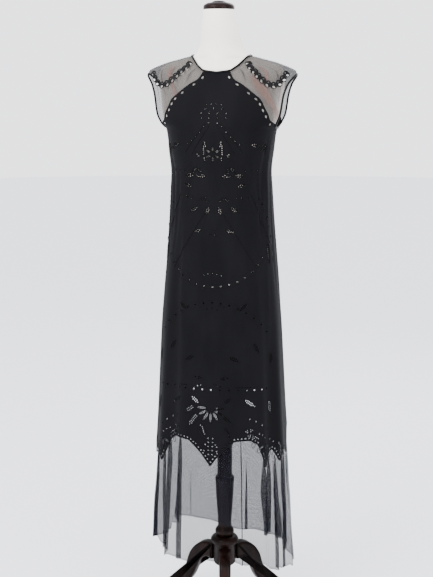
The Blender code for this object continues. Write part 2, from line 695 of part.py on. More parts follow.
def neck_parts():
    """Front neckline of one half, split where the yoke begins: at the body and at the yoke."""
    path = marks_path(NECK_FRONT, EDGE_STEPS)
    return path[:EDGE_STEPS + 1], path[EDGE_STEPS:]


def make_bodies():
    """Front and back panels of cutwork cloth."""
    side_seam = side_levels(HEM_FRONT[-1].level, ARMHOLE[0].level, 20)
    below, _ = armhole_parts(0.0)
    at_body, _ = neck_parts()
    half = joined([placed(mark.angle, mark.level) for mark in HEM_FRONT], side_seam, below,
                  marks_path(HALTER, EDGE_STEPS)[::-1], at_body[::-1])
    holes = edge_holes() + run_holes(FRONT_RUNS) + spray_holes(FRONT_SPRAYS)
    cloth_piece("body_front", joined(half, mirrored(half)), CLOTH_BLACK, BODY_WALL, FRONT_GRID, holes)

    below, _ = armhole_parts(math.pi)
    hem = [placed(mark.angle, mark.level, math.pi) for mark in HEM_BACK]
    half = joined(hem, side_seam, below, marks_path(SCOOP, EDGE_STEPS, math.pi)[::-1])
    cloth_piece("body_back", joined(half, mirrored(half, math.pi)), CLOTH_BLACK, BODY_WALL, BACK_GRID,
                run_holes(BACK_RUNS, math.pi))


def make_yokes():
    """Sheer mesh above the panels, two pieces in front and two behind."""
    seam = side_levels(ARMHOLE[-1].level, NECK_FRONT[-1].level, 8)
    _, above = armhole_parts(0.0)
    _, at_yoke = neck_parts()
    front = joined(marks_path(HALTER, EDGE_STEPS), above, seam, at_yoke[::-1])
    _, above = armhole_parts(math.pi)
    centre_back = [placed(0, NECK_BACK[0].level, math.pi), placed(0, SCOOP[0].level, math.pi)]
    slit = run_between(centre_back[0], centre_back[1], 6)
    back = joined(marks_path(SCOOP, EDGE_STEPS, math.pi), above, seam,
                  marks_path(NECK_BACK, EDGE_STEPS, math.pi)[::-1], slit)
    for name, path, centre in (("front", front, 0.0), ("back", back, math.pi)):
        cloth_piece("yoke_" + name + "_left", path, MESH_BLACK, MESH_WALL, YOKE_GRID)
        cloth_piece("yoke_" + name + "_right", mirrored(path, centre), MESH_BLACK, MESH_WALL, YOKE_GRID)


def make_bindings():
    """Narrow bindings of the neckline and the armholes, a little thicker than the mesh."""
    front = marks_path(NECK_FRONT, EDGE_STEPS)
    back = marks_path(NECK_BACK, EDGE_STEPS, math.pi)
    left_half = joined(front, back[::-1])
    left_half[-1] = (left_half[-1][0] - SEAM / 2 / NECK_RADIUS, left_half[-1][1])
    low = [(-angle, level) for angle, level in reversed(left_half[1:])] + left_half
    high = []
    for i, (angle, level) in enumerate(low):
        before = cloth(*low[max(i - 1, 0)])
        after = cloth(*low[min(i + 1, len(low) - 1)])
        round_way, up_way = tangents(angle, level, FOLDS)
        upward = round_way.cross(up_way).normalized().cross((after - before).normalized())
        high.append(shifted(angle, level, upward * BINDING_WIDTH))
    high[0] = (low[0][0], high[0][1])
    high[-1] = (low[-1][0], high[-1][1])
    cloth_piece("neck_binding", joined(low, high[::-1]), TRIM_BLACK, BINDING_WALL, lift=BINDING_PROUD)
    below, above = armhole_parts(0.0)
    front_edge = joined(below, above)
    below, above = armhole_parts(math.pi)
    back_edge = joined(below, above)
    ring = facing_out(joined(front_edge, back_edge[::-1]))
    for name, edge in (("left", ring), ("right", mirrored(ring))):
        opening = inset(edge, BINDING_WIDTH)
        cloth_piece("armhole_binding_" + name, edge, TRIM_BLACK, BINDING_WALL, holes=[opening],
                    lift=BINDING_PROUD)


def make_appliques():
    """Openwork trim of leaf lobes lying on the front mesh, one hole in each lobe."""
    path = marks_path(APPLIQUE_PATH, 4)
    total = APPLIQUE_LOBES * APPLIQUE_LOBE_STEPS
    left_edge = []
    right_edge = []
    holes = []
    for i in range(total + 1):
        at = i / total * (len(path) - 1)
        k = min(int(at), len(path) - 2)
        t = at - k
        angle = path[k][0] + (path[k + 1][0] - path[k][0]) * t
        level = path[k][1] + (path[k + 1][1] - path[k][1]) * t
        along = (cloth(*path[k + 1]) - cloth(*path[k])).normalized()
        round_way, up_way = tangents(angle, level, FOLDS)
        aside = round_way.cross(up_way).normalized().cross(along)
        bulge = math.sin(math.pi * (i % APPLIQUE_LOBE_STEPS) / APPLIQUE_LOBE_STEPS)
        swell = APPLIQUE_WAIST + (1 - APPLIQUE_WAIST) * bulge
        left_edge.append(shifted(angle, level, aside * APPLIQUE_HALF_WIDTH * swell))
        right_edge.append(shifted(angle, level, aside * -APPLIQUE_HALF_WIDTH * swell))
        if i % APPLIQUE_LOBE_STEPS == APPLIQUE_LOBE_STEPS // 2:
            length, width = APPLIQUE_HOLE
            turns = [2 * math.pi * j / EYELET_SIDES for j in range(EYELET_SIDES)]
            reaches = [along * length * math.cos(turn) + aside * width * math.sin(turn) for turn in turns]
            holes.append([shifted(angle, level, reach) for reach in reaches])
    outline = facing_out(joined(left_edge, right_edge[::-1]))
    lift = APPLIQUE_LIFT + APPLIQUE_WALL
    cloth_piece("applique_left", outline, TRIM_BLACK, APPLIQUE_WALL, holes=holes, lift=lift, seam=0.0)
    other = [mirrored(hole) for hole in holes]
    cloth_piece("applique_right", mirrored(outline), TRIM_BLACK, APPLIQUE_WALL, holes=other, lift=lift,
                seam=0.0)


def make_button():
    """Small covered button on the binding at the nape."""
    level = NECK_BACK[0].level + BINDING_WIDTH / 2
    place = cloth(math.pi, level, BINDING_PROUD + SEAM)
    way = (cloth(math.pi, level, BUTTON_RADIUS) - place).normalized()
    bm = bmesh.new()
    bmesh.ops.create_uvsphere(bm, u_segments=10, v_segments=6, radius=BUTTON_RADIUS)
    bmesh.ops.scale(bm, vec=(1, 1, BUTTON_FLATNESS), verts=bm.verts[:])
    button = add_object("back_button", mesh_from(bm, "back_button"), TRIM_BLACK)
    button.location = place + way * BUTTON_RADIUS * BUTTON_FLATNESS
    button.rotation_euler = way.to_track_quat("Z", "Y").to_euler()


def net_top_level(angle):
    """Level of the net's sewn top edge, higher behind."""
    back = max(0.0, -math.cos(angle))
    return NET_TOP_FRONT + (NET_TOP_BACK - NET_TOP_FRONT) * back * back


def net_sink(angle, level):
    """How far the net falls away inside the body below its sewn top edge."""
    t = min(1.0, max(0.0, (net_top_level(angle) - level) / NET_GRID.row))
    return NET_TUCK * t * (2 - t)


def make_nets():
    """Sheer net skirt, short in front and long behind, sewn inside the body and tucked behind its hem."""
    columns = round(90 / NET_GRID.column)
    for name, centre in (("front", 0.0), ("back", math.pi)):
        angles = [centre + math.radians(NET_GRID.column) * i for i in range(-columns, columns + 1)]
        hem = [(angle, NET_HEM_LEVEL(math.degrees(math.remainder(angle, 2 * math.pi)))) for angle in angles]
        tops = [(angle, net_top_level(angle)) for angle in angles]
        right_side = run_between(hem[-1], tops[-1], 6)
        left_side = run_between(tops[0], hem[0], 6)
        cloth_piece("net_" + name, joined(hem, right_side, tops[::-1], left_side), NET_BLACK, NET_WALL,
                    NET_GRID, lift=-(BODY_WALL + NET_SEAT), folds=FOLDS + FLUTES, sink=net_sink)


def ring_mesh(name, rings):
    """Closed body lofted through rings of equally many points, with flat ends."""
    bm = bmesh.new()
    loops = [[bm.verts.new(point) for point in ring] for ring in rings]
    count = len(rings[0])
    for low, high in zip(loops, loops[1:]):
        for i in range(count):
            bm.faces.new((low[i], low[(i + 1) % count], high[(i + 1) % count], high[i]))
    bm.faces.new(loops[0][::-1])
    bm.faces.new(loops[-1])
    return mesh_from(bm, name)


def torso_ring(level, share=1.0):
    """Ring of the form inside the dress at a level, or a share of its size."""
    ring = []
    for i in range(TORSO_SIDES):
        point = section_point(2 * math.pi * i / TORSO_SIDES, level, EASE_SIDE(level), EASE_DEPTH(level))
        ring.append(Vector((point.x * share, point.y * share, point.z - EASE_DROP(level))))
    return ring


def make_torso():
    """Jersey-covered form, smooth and without limbs, and the wooden plate below it."""
    rings = [torso_ring(level) for level in TORSO_LEVELS]
    for row in NECK_RINGS:
        ring = []
        for i in range(TORSO_SIDES):
            angle = 2 * math.pi * i / TORSO_SIDES
            depth = row.front if math.cos(angle) > 0 else row.back
            ring.append(Vector((row.half_width * math.sin(angle), row.centre - depth * math.cos(angle),
                                row.height)))
        rings.append(ring)
    add_object("torso", ring_mesh("torso", rings), JERSEY_CREAM)
    plate_top = TORSO_BOTTOM - SEAM
    plate = [[Vector((point.x, point.y, plate_top - down)) for point in torso_ring(TORSO_BOTTOM, share)]
             for down, share in PLATE_RINGS]
    add_object("torso_base", ring_mesh("torso_base", plate), WALNUT)


def turned(name, profile, place):
    """Turned wooden piece from its profile, top to bottom, as a Screw modifier."""
    mesh = bpy.data.meshes.new(name)
    points = [(radius, 0.0, height) for radius, height in profile]
    mesh.from_pydata(points, [(i, i + 1) for i in range(len(points) - 1)], [])
    thing = add_object(name, mesh, WALNUT, smooth=False)
    thing.location = place
    screw = thing.modifiers.new("Screw", "SCREW")
    screw.steps = TURNED_SIDES
    screw.render_steps = TURNED_SIDES
    screw.use_merge_vertices = True
    screw.merge_threshold = 0.0001


def make_turned_wood():
    """Ringed cap on the neck's leaning top, and the column in its vase-shaped sleeve on the hub."""
    turned("neck_cap", CAP_PROFILE, (0, NECK_RINGS[-1].centre, NECK_TOP + SEAM))
    axis = (0, COLUMN_BACK, 0)
    turned("column", COLUMN_PROFILE, axis)
    turned("sleeve", SLEEVE_PROFILE, axis)
    turned("hub", HUB_PROFILE, axis)


def make_legs():
    """Three curved legs, flat on the floor, butted against the hub."""
    upper = []
    lower = []
    for i, row in enumerate(LEG_SPINE):
        before = LEG_SPINE[max(i - 1, 0)]
        after = LEG_SPINE[min(i + 1, len(LEG_SPINE) - 1)]
        along = Vector((after.reach - before.reach, after.height - before.height)).normalized()
        if i == 0:
            along = Vector((1, 0))
        across = Vector((-along.y, along.x)) * row.depth / 2
        upper.append(Vector((row.reach, row.height)) + across)
        lower.append(Vector((row.reach, row.height)) - across)
    lower = [point for point in lower if point.x < LEG_UNDERSIDE_END]
    outline = upper + [Vector(point) for point in TOE] + lower[::-1]
    for name, turn in (("front", 0.0), ("left", 2 * math.pi / 3), ("right", -2 * math.pi / 3)):
        curve = bpy.data.curves.new("leg_" + name, "CURVE")
        curve.dimensions = "2D"
        curve.fill_mode = "BOTH"
        curve.extrude = LEG_WIDTH / 2
        spline = curve.splines.new("POLY")
        spline.points.add(len(outline) - 1)
        for point, place in zip(spline.points, outline):
            point.co = (place.x, place.y, 0, 1)
        spline.use_cyclic_u = True
        guide = bpy.data.objects.new("leg_guide", curve)
        PARTS.objects.link(guide)
        bpy.context.view_layer.update()
        flat = bpy.data.meshes.new_from_object(guide.evaluated_get(bpy.context.evaluated_depsgraph_get()))
        bpy.data.objects.remove(guide)
        bm = bmesh.new()
        bm.from_mesh(flat)
        bmesh.ops.remove_doubles(bm, verts=bm.verts[:], dist=0.00001)
        leg = add_object("leg_" + name, mesh_from(bm, "leg_" + name), WALNUT)
        angle = -QUARTER + LEG_TURN + turn
        leg.location = (0, COLUMN_BACK, 0)
        leg.rotation_euler = (QUARTER, 0, angle)


def centre_figure():
    """Move the whole figure so that its bounding box is centred on the origin and stands on the floor."""
    bpy.context.view_layer.update()
    depsgraph = bpy.context.evaluated_depsgraph_get()
    corners = []
    for thing in PARTS.objects:
        if thing.type == "MESH":
            mesh = thing.evaluated_get(depsgraph).to_mesh()
            corners += [thing.matrix_world @ vert.co for vert in mesh.vertices]
    lows = [min(corner[i] for corner in corners) for i in range(3)]
    highs = [max(corner[i] for corner in corners) for i in range(3)]
    FIGURE.location = (-(lows[0] + highs[0]) / 2, -(lows[1] + highs[1]) / 2, -lows[2])


for old in list(bpy.data.objects):
    bpy.data.objects.remove(old)

PARTS = collection_named("dress_on_form")
FIGURE = bpy.data.objects.new("figure", None)
PARTS.objects.link(FIGURE)

make_bodies()
make_yokes()
make_bindings()
make_appliques()
make_button()
make_nets()
make_torso()
make_turned_wood()
make_legs()
centre_figure()
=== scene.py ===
"""Black cutwork dress with a sheer high-low net hem, on a cream dress form with a turned wooden stand."""

import math
from collections import namedtuple

import bpy
import numpy as np
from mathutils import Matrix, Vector
from mathutils.geometry import delaunay_2d_cdt
from mathutils.kdtree import KDTree


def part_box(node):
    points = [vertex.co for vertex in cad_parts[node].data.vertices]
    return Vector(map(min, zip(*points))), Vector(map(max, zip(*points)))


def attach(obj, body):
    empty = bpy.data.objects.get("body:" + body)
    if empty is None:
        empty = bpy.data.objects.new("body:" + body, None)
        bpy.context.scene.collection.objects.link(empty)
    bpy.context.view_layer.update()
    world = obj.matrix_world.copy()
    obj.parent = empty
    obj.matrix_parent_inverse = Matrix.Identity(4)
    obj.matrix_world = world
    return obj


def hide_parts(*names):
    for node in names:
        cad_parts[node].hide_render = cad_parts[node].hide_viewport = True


bl_info = {
    "name": "Cutwork Dress on a Dress Form",
    "version": (1, 0, 0),
    "blender": (4, 5, 0),
    "location": "View3D > Sidebar > Dress",
    "description": "Dresses the frame with cutwork cloth, mesh, net, embroidery, jersey and turned wood",
    "category": "Object",
}

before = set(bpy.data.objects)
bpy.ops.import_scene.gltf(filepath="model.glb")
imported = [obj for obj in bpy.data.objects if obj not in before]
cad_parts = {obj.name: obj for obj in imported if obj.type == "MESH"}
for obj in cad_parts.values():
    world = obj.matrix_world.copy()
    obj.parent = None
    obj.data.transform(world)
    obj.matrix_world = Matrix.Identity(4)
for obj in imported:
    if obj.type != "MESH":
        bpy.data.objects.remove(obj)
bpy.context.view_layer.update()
COLUMN_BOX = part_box("column")

# Thickness and clearance of the cloth, as the solids have them
SEAM = 0.0003
NET_SEAT = 0.0006
NET_TUCK = 0.0035
NET_SINK_SPAN = 0.080
BODY_WALL = 0.0015
MESH_WALL = 0.0010
APPLIQUE_WALL = 0.0009
APPLIQUE_LIFT = 0.0017
BINDING_WIDTH = 0.0055
BINDING_PROUD = 0.0012
BINDING_HALF_HEIGHT = 0.0025
BINDING_SEAT = 0.0004
BINDING_SIDES = 14
BINDING_STEP = 0.0035

# Levels where the edges of the pieces meet
SIDE_HEM = 0.540
UNDERARM = 1.512
SHOULDER_EDGE = 1.671
NECK_SIDE = 1.812
NAPE = 1.724
SCOOP_MIDDLE = 1.575

# Steps of the paths: between two marks of an edge, and along the cloth
EDGE_STEPS = 8
HEM_STEPS = 6
TRIM_STEPS = 4
CLOTH_STEP = 0.004

# Heights of the form and its stand
TORSO_BOTTOM = 1.062
NECK_TOP = 1.845
SLEEVE_TOP = 0.433
COLUMN_BACK = 0.050
COLUMN_RADIUS = 0.023
HUB_RADIUS = 0.035
LEG_TURN = math.radians(12)
LEG_WIDTH = 0.036

# Where the figure's own axis stands in the frame
ORIGIN = (COLUMN_BOX[0] + COLUMN_BOX[1]) / 2 - Vector((0, COLUMN_BACK, 0))
ORIGIN.z = 0

# The pattern plane: metres of pattern for each radian round the figure
SPREAD = 0.15
PATTERN = np.array((SPREAD, 1.0))
GRID_CLEARANCE = 0.45
QUARTER = math.pi / 2

Section = namedtuple("Section", "level half_width front back height ridge")


def section(level, half_width, front, back, height=None, ridge=1.0):
    """A level of the figure, whose height is the level itself except over the shoulders."""
    return Section(level, half_width, front, back, height or level, ridge)


SECTIONS = [section(*row) for row in (
    (0.0, 0.222, 0.19, 0.234), (0.15, 0.219, 0.188, 0.225), (0.27, 0.2125, 0.186, 0.212),
    (0.37, 0.2095, 0.182, 0.202), (0.437, 0.2045, 0.178, 0.192), (0.566, 0.199, 0.168, 0.178),
    (0.694, 0.1915, 0.16, 0.166), (0.819, 0.1855, 0.152, 0.157), (0.942, 0.179, 0.145, 0.149),
    (1.065, 0.169, 0.136, 0.142), (1.155, 0.1605, 0.129, 0.136), (1.259, 0.152, 0.121, 0.122),
    (1.333, 0.148, 0.117, 0.11), (1.386, 0.1455, 0.12, 0.106), (1.45, 0.1525, 0.131, 0.106),
    (1.512, 0.161, 0.129, 0.109), (1.53, 0.178, 0.126, 0.11), (1.556, 0.1945, 0.12, 0.11),
    (1.604, 0.205, 0.107, 0.107), (1.64, 0.212, 0.094, 0.101), (1.66, 0.2165, 0.085, 0.097),
    (1.676, 0.2145, 0.0775, 0.092, 1.674, 0.95), (1.694, 0.198, 0.0745, 0.088, 1.684, 0.84),
    (1.716, 0.178, 0.0725, 0.083, 1.692, 0.72), (1.74, 0.155, 0.071, 0.077, 1.7, 0.62),
    (1.766, 0.13, 0.0705, 0.071, 1.7065, 0.57), (1.792, 0.105, 0.07, 0.067, 1.713, 0.6),
    (1.812, 0.085, 0.0695, 0.0655, 1.718, 0.84), (1.824, 0.076, 0.069, 0.065, 1.7245, 1.0),
)]
FRONT_EASE_SHARE = 0.6
NECK_SPREAD = 0.060
NECK_RADIUS = 0.065
SECTION_SQUARENESS = 0.88

Ease = namedtuple("Ease", "level side depth drop", defaults=(0.0,))
EASES = [Ease(*row) for row in (
    (1.05, 0.012, 0.01), (1.155, 0.008, 0.007), (1.259, 0.017, 0.016), (1.333, 0.02, 0.016),
    (1.386, 0.014, 0.014), (1.45, 0.01, 0.0065), (1.512, 0.013, 0.008), (1.556, 0.022, 0.01),
    (1.604, 0.026, 0.01), (1.64, 0.029, 0.009), (1.66, 0.033, 0.0075), (1.676, 0.034, 0.006, 0.0008),
    (1.694, 0.022, 0.0045, 0.0016), (1.716, 0.009, 0.0035, 0.002), (1.74, 0.003, 0.003, 0.002),
    (1.766, 0.002, 0.003, 0.002), (1.792, 0.002, 0.003, 0.002), (1.812, 0.003, 0.0035, 0.0015),
)]

NeckRing = namedtuple("NeckRing", "height centre half_width front back")
NECK_RINGS = [NeckRing(*row) for row in (
    (1.729, -0.001, 0.0705, 0.0645, 0.06), (1.742, -0.004, 0.064, 0.062, 0.058),
    (1.76, -0.01, 0.06, 0.059, 0.057), (1.785, -0.021, 0.055, 0.055, 0.054),
    (1.815, -0.033, 0.049, 0.049, 0.049), (NECK_TOP, -0.042, 0.044, 0.044, 0.044),
)]

Fold = namedtuple("Fold", "angle half_width depth top bottom")
FOLDS = [Fold(*row) for row in (
    (-53, 13, 0.006, 1.3, 0.5), (-40, 12, -0.0085, 1.36, 0.48), (-26, 12, 0.005, 1.2, 0.5),
    (32, 13, 0.004, 1.1, 0.5), (47, 12, 0.005, 1.25, 0.5), (60, 13, -0.008, 1.34, 0.48),
    (74, 12, 0.0055, 1.2, 0.5), (108, 14, 0.006, 1.15, 0.45), (124, 13, -0.008, 1.3, 0.45),
    (150, 16, 0.007, 1.1, 0.45), (172, 14, -0.007, 1.25, 0.45), (-160, 15, 0.0075, 1.05, 0.45),
    (-139, 13, -0.008, 1.3, 0.45), (-114, 15, 0.0065, 1.15, 0.45),
)]
FLUTES = [Fold(*row) for row in (
    (-81, 9, 0.006, 0.5, 0.25), (-71, 8, -0.006, 0.5, 0.25), (-59, 9, 0.011, 0.5, 0.3),
    (-47, 9, -0.012, 0.52, 0.3), (-34, 9, 0.009, 0.5, 0.3), (-21, 9, -0.006, 0.5, 0.32),
    (-6, 10, 0.006, 0.5, 0.32), (9, 9, -0.006, 0.5, 0.32), (23, 10, 0.008, 0.5, 0.32),
    (37, 9, -0.007, 0.5, 0.3), (48, 9, 0.012, 0.52, 0.3), (60, 9, -0.013, 0.52, 0.28),
    (71, 9, 0.011, 0.5, 0.25), (82, 8, -0.005, 0.5, 0.22), (98, 10, 0.012, 0.5, 0.15),
    (113, 9, -0.012, 0.5, 0.14), (127, 10, 0.013, 0.5, 0.12), (142, 9, -0.011, 0.5, 0.12),
    (156, 10, 0.014, 0.5, 0.1), (170, 9, -0.01, 0.5, 0.1), (-175, 9, 0.012, 0.5, 0.1),
    (-162, 9, -0.012, 0.5, 0.1), (-148, 10, 0.014, 0.5, 0.12), (-133, 9, -0.013, 0.5, 0.12),
    (-118, 10, 0.013, 0.5, 0.14), (-104, 9, -0.01, 0.5, 0.16),
)]

# Soft creases of the body between two places on it
Crease = namedtuple("Crease", "top_angle top_level low_angle low_level half_width depth")
CREASES = [Crease(*row) for row in (
    (67, 1.5, 57, 1.2, 0.013, -0.0038), (75, 1.49, 68, 1.12, 0.011, 0.0032),
    (51, 1.44, 60, 1.18, 0.01, -0.003), (40, 1.3, 47, 0.94, 0.016, 0.003),
    (84, 1.46, 80, 1.02, 0.01, -0.003), (64, 1.15, 60, 0.86, 0.014, 0.0027),
    (-64, 1.5, -56, 1.18, 0.013, -0.0035), (-75, 1.48, -70, 1.1, 0.012, 0.0032),
    (-47, 1.42, -51, 1.12, 0.012, -0.0027), (-36, 1.28, -31, 0.92, 0.017, 0.0028),
    (-84, 1.4, -79, 0.98, 0.011, -0.0027), (-12, 1.24, -16, 0.84, 0.019, 0.0027),
    (15, 1.21, 11, 0.82, 0.018, -0.0026), (27, 1.12, 31, 0.8, 0.016, 0.0024),
    (-4, 1.05, 2, 0.8, 0.015, -0.002), (22, 1.43, 34, 1.3, 0.012, -0.0022),
    (-22, 1.43, -33, 1.29, 0.012, -0.0022), (112, 1.48, 118, 1.16, 0.013, -0.0035),
    (101, 1.42, 98, 1.0, 0.012, 0.003), (134, 1.44, 141, 1.12, 0.015, 0.003),
    (158, 1.42, 163, 1.1, 0.016, -0.0032), (176, 1.3, 172, 0.92, 0.019, 0.0028),
    (146, 1.1, 150, 0.86, 0.016, -0.0024), (-112, 1.48, -117, 1.15, 0.013, -0.0035),
    (-99, 1.4, -97, 1.02, 0.012, 0.003), (-136, 1.43, -142, 1.1, 0.015, 0.003),
    (-160, 1.4, -156, 1.08, 0.016, -0.003), (-148, 1.14, -151, 0.88, 0.016, 0.0024),
    (-171, 1.12, -166, 0.85, 0.015, -0.0023),
)]

# Folds of the mesh yoke, where it lies double, and the thin puckers between them
GATHERS = [Crease(*row) for row in (
    (24, 1.672, 68, 1.536, 0.0135, 0.0015), (37, 1.715, 46, 1.58, 0.006, 0.001),
    (-45, 1.716, -32, 1.588, 0.008, 0.0012), (150, 1.74, 138, 1.6, 0.005, 0.001),
    (-152, 1.74, -140, 1.605, 0.005, 0.001),
)]
PUCKERS = [Crease(*row) for row in (
    (46, 1.716, 57, 1.615, 0.003, 0.0009), (56, 1.69, 60, 1.58, 0.0032, 0.0009),
    (30, 1.752, 35, 1.655, 0.0028, 0.0008), (-27, 1.745, -30, 1.65, 0.0028, 0.0008),
    (-52, 1.712, -46, 1.6, 0.0032, 0.0009), (-58, 1.69, -56, 1.58, 0.0032, 0.0009),
    (62, 1.7, 64, 1.62, 0.0026, 0.0008), (-22, 1.722, -33, 1.64, 0.0026, 0.0008),
    (17, 1.7, 24, 1.64, 0.0024, 0.0007), (-17, 1.7, -24, 1.64, 0.0024, 0.0007),
    (168, 1.71, 160, 1.59, 0.0034, 0.0009), (-170, 1.705, -163, 1.59, 0.0034, 0.0009),
    (140, 1.745, 126, 1.62, 0.003, 0.0008), (-140, 1.745, -126, 1.62, 0.003, 0.0008),
    (120, 1.765, 112, 1.66, 0.0028, 0.0008), (-120, 1.765, -112, 1.66, 0.0028, 0.0008),
)]

# Pleats of the net that fold over themselves, as degrees of their middle and of half their width
Pleat = namedtuple("Pleat", "angle half_width lap")
PLEATS = [Pleat(*row) for row in (
    (-66, 2.0, 0.85), (-45.5, 1.7, 0.85), (-31.0, 5.2, 1.35), (-17.2, 1.7, 0.85), (31.2, 1.7, 0.85),
    (49.5, 5.6, 1.35), (59.0, 3.6, 1.2), (66.0, 2.6, 1.05), (75, 1.8, 0.8), (84, 2.2, 0.85),
    (104, 4.0, 1.15), (121, 2.4, 0.85), (135, 3.6, 1.15), (148, 2.6, 1.0), (171.5, 2.0, 0.9),
    (-168, 2.4, 1.0), (-127, 3.0, 1.1), (-115, 3.8, 1.15), (-103, 2.4, 0.85), (-86, 2.6, 0.95),
)]

# The yoke's painted warm light and its cover where it lies double, and the net's levels, columns and hem
PAINTED_LIGHT_GAIN = 2.2
DENSE_GAIN = 2.0
DENSE_MOST = 0.90
PLEAT_TOP = 0.640
PLEAT_FULL = 0.440
PLEAT_DEPTH = 0.0042
PLEAT_COLUMNS = 25
NET_COLUMNS = 181
NET_COLUMN_GAP = 0.0012
NET_FULLNESS = 1.35
NET_HEM_BAND = 0.006
NET_HEM_COVER = 0.5

# Edges of the pieces, for the wearer's left half: degrees from the front or the back, and level
Mark = namedtuple("Mark", "angle level")
Step = namedtuple("Step", "t angle level")
NECK_FRONT = ((0, 1.67), (10.2, 1.677), (16.3, 1.697), (26.8, 1.74), (42.7, 1.78), (65, 1.803), (90, 1.812))
NECK_BACK = ((0, 1.724), (14.3, 1.733), (28.5, 1.76), (43.9, 1.784), (65, 1.803), (90, 1.812))
HALTER = (
    (10.2, 1.677), (13.4, 1.655), (20.7, 1.64), (32.2, 1.613), (38.9, 1.598), (43.9, 1.577), (48.8, 1.56),
    (55.8, 1.54), (70.0, 1.527))
SCOOP = ((0, 1.575), (25, 1.572), (45, 1.56), (60, 1.543), (70.0, 1.527))
ARMHOLE = (
    (90, 1.512), (80, 1.515), (70, 1.527), (65, 1.556), (63.5, 1.604), (67, 1.64), (77, 1.662), (90, 1.671))
ARMHOLE_SPLIT = 2
HEM_FRONT = (
    (0, 0.543), (6, 0.571), (13, 0.596), (22, 0.618), (32, 0.62), (42, 0.604), (46, 0.57), (51, 0.533),
    (56, 0.566), (62, 0.578), (66, 0.56), (70, 0.538), (74, 0.562), (80, 0.57), (85, 0.556), (90, 0.54))
HEM_BACK = (
    (0, 0.612), (6, 0.636), (13, 0.664), (24, 0.69), (36, 0.696), (44, 0.68), (48, 0.655), (53, 0.622),
    (58, 0.652), (63, 0.656), (67, 0.632), (71, 0.602), (75, 0.622), (80, 0.612), (85, 0.575), (90, 0.54))
NET_TOP_FRONT = 0.720
NET_TOP_BACK = 0.800
NET_HEM = [Mark(*row) for row in (
    (-180, 0.062), (-150, 0.07), (-120, 0.115), (-105, 0.17), (-90, 0.236), (-75, 0.262), (-60, 0.282),
    (-48, 0.3), (-38, 0.345), (-26, 0.38), (-5, 0.384), (15, 0.362), (40, 0.345), (60, 0.314), (75, 0.275),
    (90, 0.218), (103, 0.16), (120, 0.112), (150, 0.068), (180, 0.062),
)]
APPLIQUE_PATH = (
    (34.0, 1.744), (29.0, 1.713), (28.5, 1.689), (31.5, 1.668), (37.0, 1.651), (43.0, 1.64), (49.0, 1.636),
    (54.5, 1.641), (58.5, 1.653), (62.0, 1.665), (66.0, 1.673))
APPLIQUE_LOBES = 10
APPLIQUE_LOBE_STEPS = 16
APPLIQUE_HALF_WIDTH = 0.0098
APPLIQUE_WAIST = 0.42
OUTER_DROP = (0.0118, 0.0072)
INNER_DROP = (0.0082, 0.0040)
DROP_LEAN = 0.62
DROP_INSET = 0.0048
LOBE_PATH_STEP = 0.0008

# Runs of eyelets: a straight line between two ends, plus a bulge in its middle
Run = namedtuple("Run", "start_angle start_level end_angle end_level bulge count radius mirrored",
                 defaults=(False,))
FRONT_RUNS = [Run(*row) for row in (
    (-7.0, 1.572, 7.0, 1.572, 0.002, 3, 0.0026), (-10.5, 1.56, 10.5, 1.56, 0.0, 4, 0.0026),
    (-10.5, 1.547, 10.5, 1.547, 0.0, 4, 0.0026), (-4.0, 1.533, 4.0, 1.533, 0.0, 2, 0.0026),
    (8.5, 1.524, 29.0, 1.474, -0.004, 5, 0.0024, True), (37.0, 1.398, 55.0, 1.399, 0.0, 3, 0.0024, True),
    (26.0, 1.322, 47.0, 1.323, 0.0, 4, 0.0024, True), (58.0, 1.318, 77.0, 1.206, 0.01, 6, 0.0026, True),
    (-58.0, 1.152, 58.0, 1.152, -0.082, 15, 0.003), (-58.0, 0.934, 58.0, 0.934, 0.09, 15, 0.003),
    (-56.0, 0.766, 56.0, 0.766, 0.004, 15, 0.003), (35.0, 0.683, 53.0, 0.645, 0.004, 4, 0.0028, True),
    (-13.0, 0.607, 13.0, 0.607, 0.0, 4, 0.0026), (-5.5, 0.588, 5.5, 0.588, 0.0, 2, 0.0026),
)]
BACK_RUNS = [Run(*row) for row in (
    (-58.0, 1.152, 58.0, 1.152, -0.082, 13, 0.003), (-58.0, 0.934, 58.0, 0.934, 0.09, 13, 0.003),
    (-56.0, 0.78, 56.0, 0.78, 0.004, 13, 0.003),
)]
LONG_RUN_COUNT = 10
BAND_HALF_WIDTH = 0.0075

# Sprays of leaf-shaped cuts round a centre: turns are in degrees, anticlockwise from the wearer's left
Spray = namedtuple("Spray", "angle level first_turn last_turn count length width start mirrored",
                   defaults=(False,))
FRONT_SPRAYS = [Spray(*row) for row in (
    (0.0, 1.448, 30, 330, 6, 0.019, 0.006, 0.006), (57.0, 1.466, 45, 315, 4, 0.011, 0.006, 0.003, True),
    (20.0, 1.394, 10, 170, 5, 0.014, 0.0055, 0.005, True),
    (11.5, 1.312, 15, 165, 4, 0.013, 0.0055, 0.0045, True),
    (79.5, 1.155, 90, 270, 2, 0.024, 0.006, 0.004, True), (0.0, 1.226, 45, 315, 4, 0.011, 0.0055, 0.003),
    (0.0, 0.716, 180, 360, 7, 0.034, 0.008, 0.012), (50.0, 0.602, 210, 330, 3, 0.02, 0.0065, 0.004, True),
)]

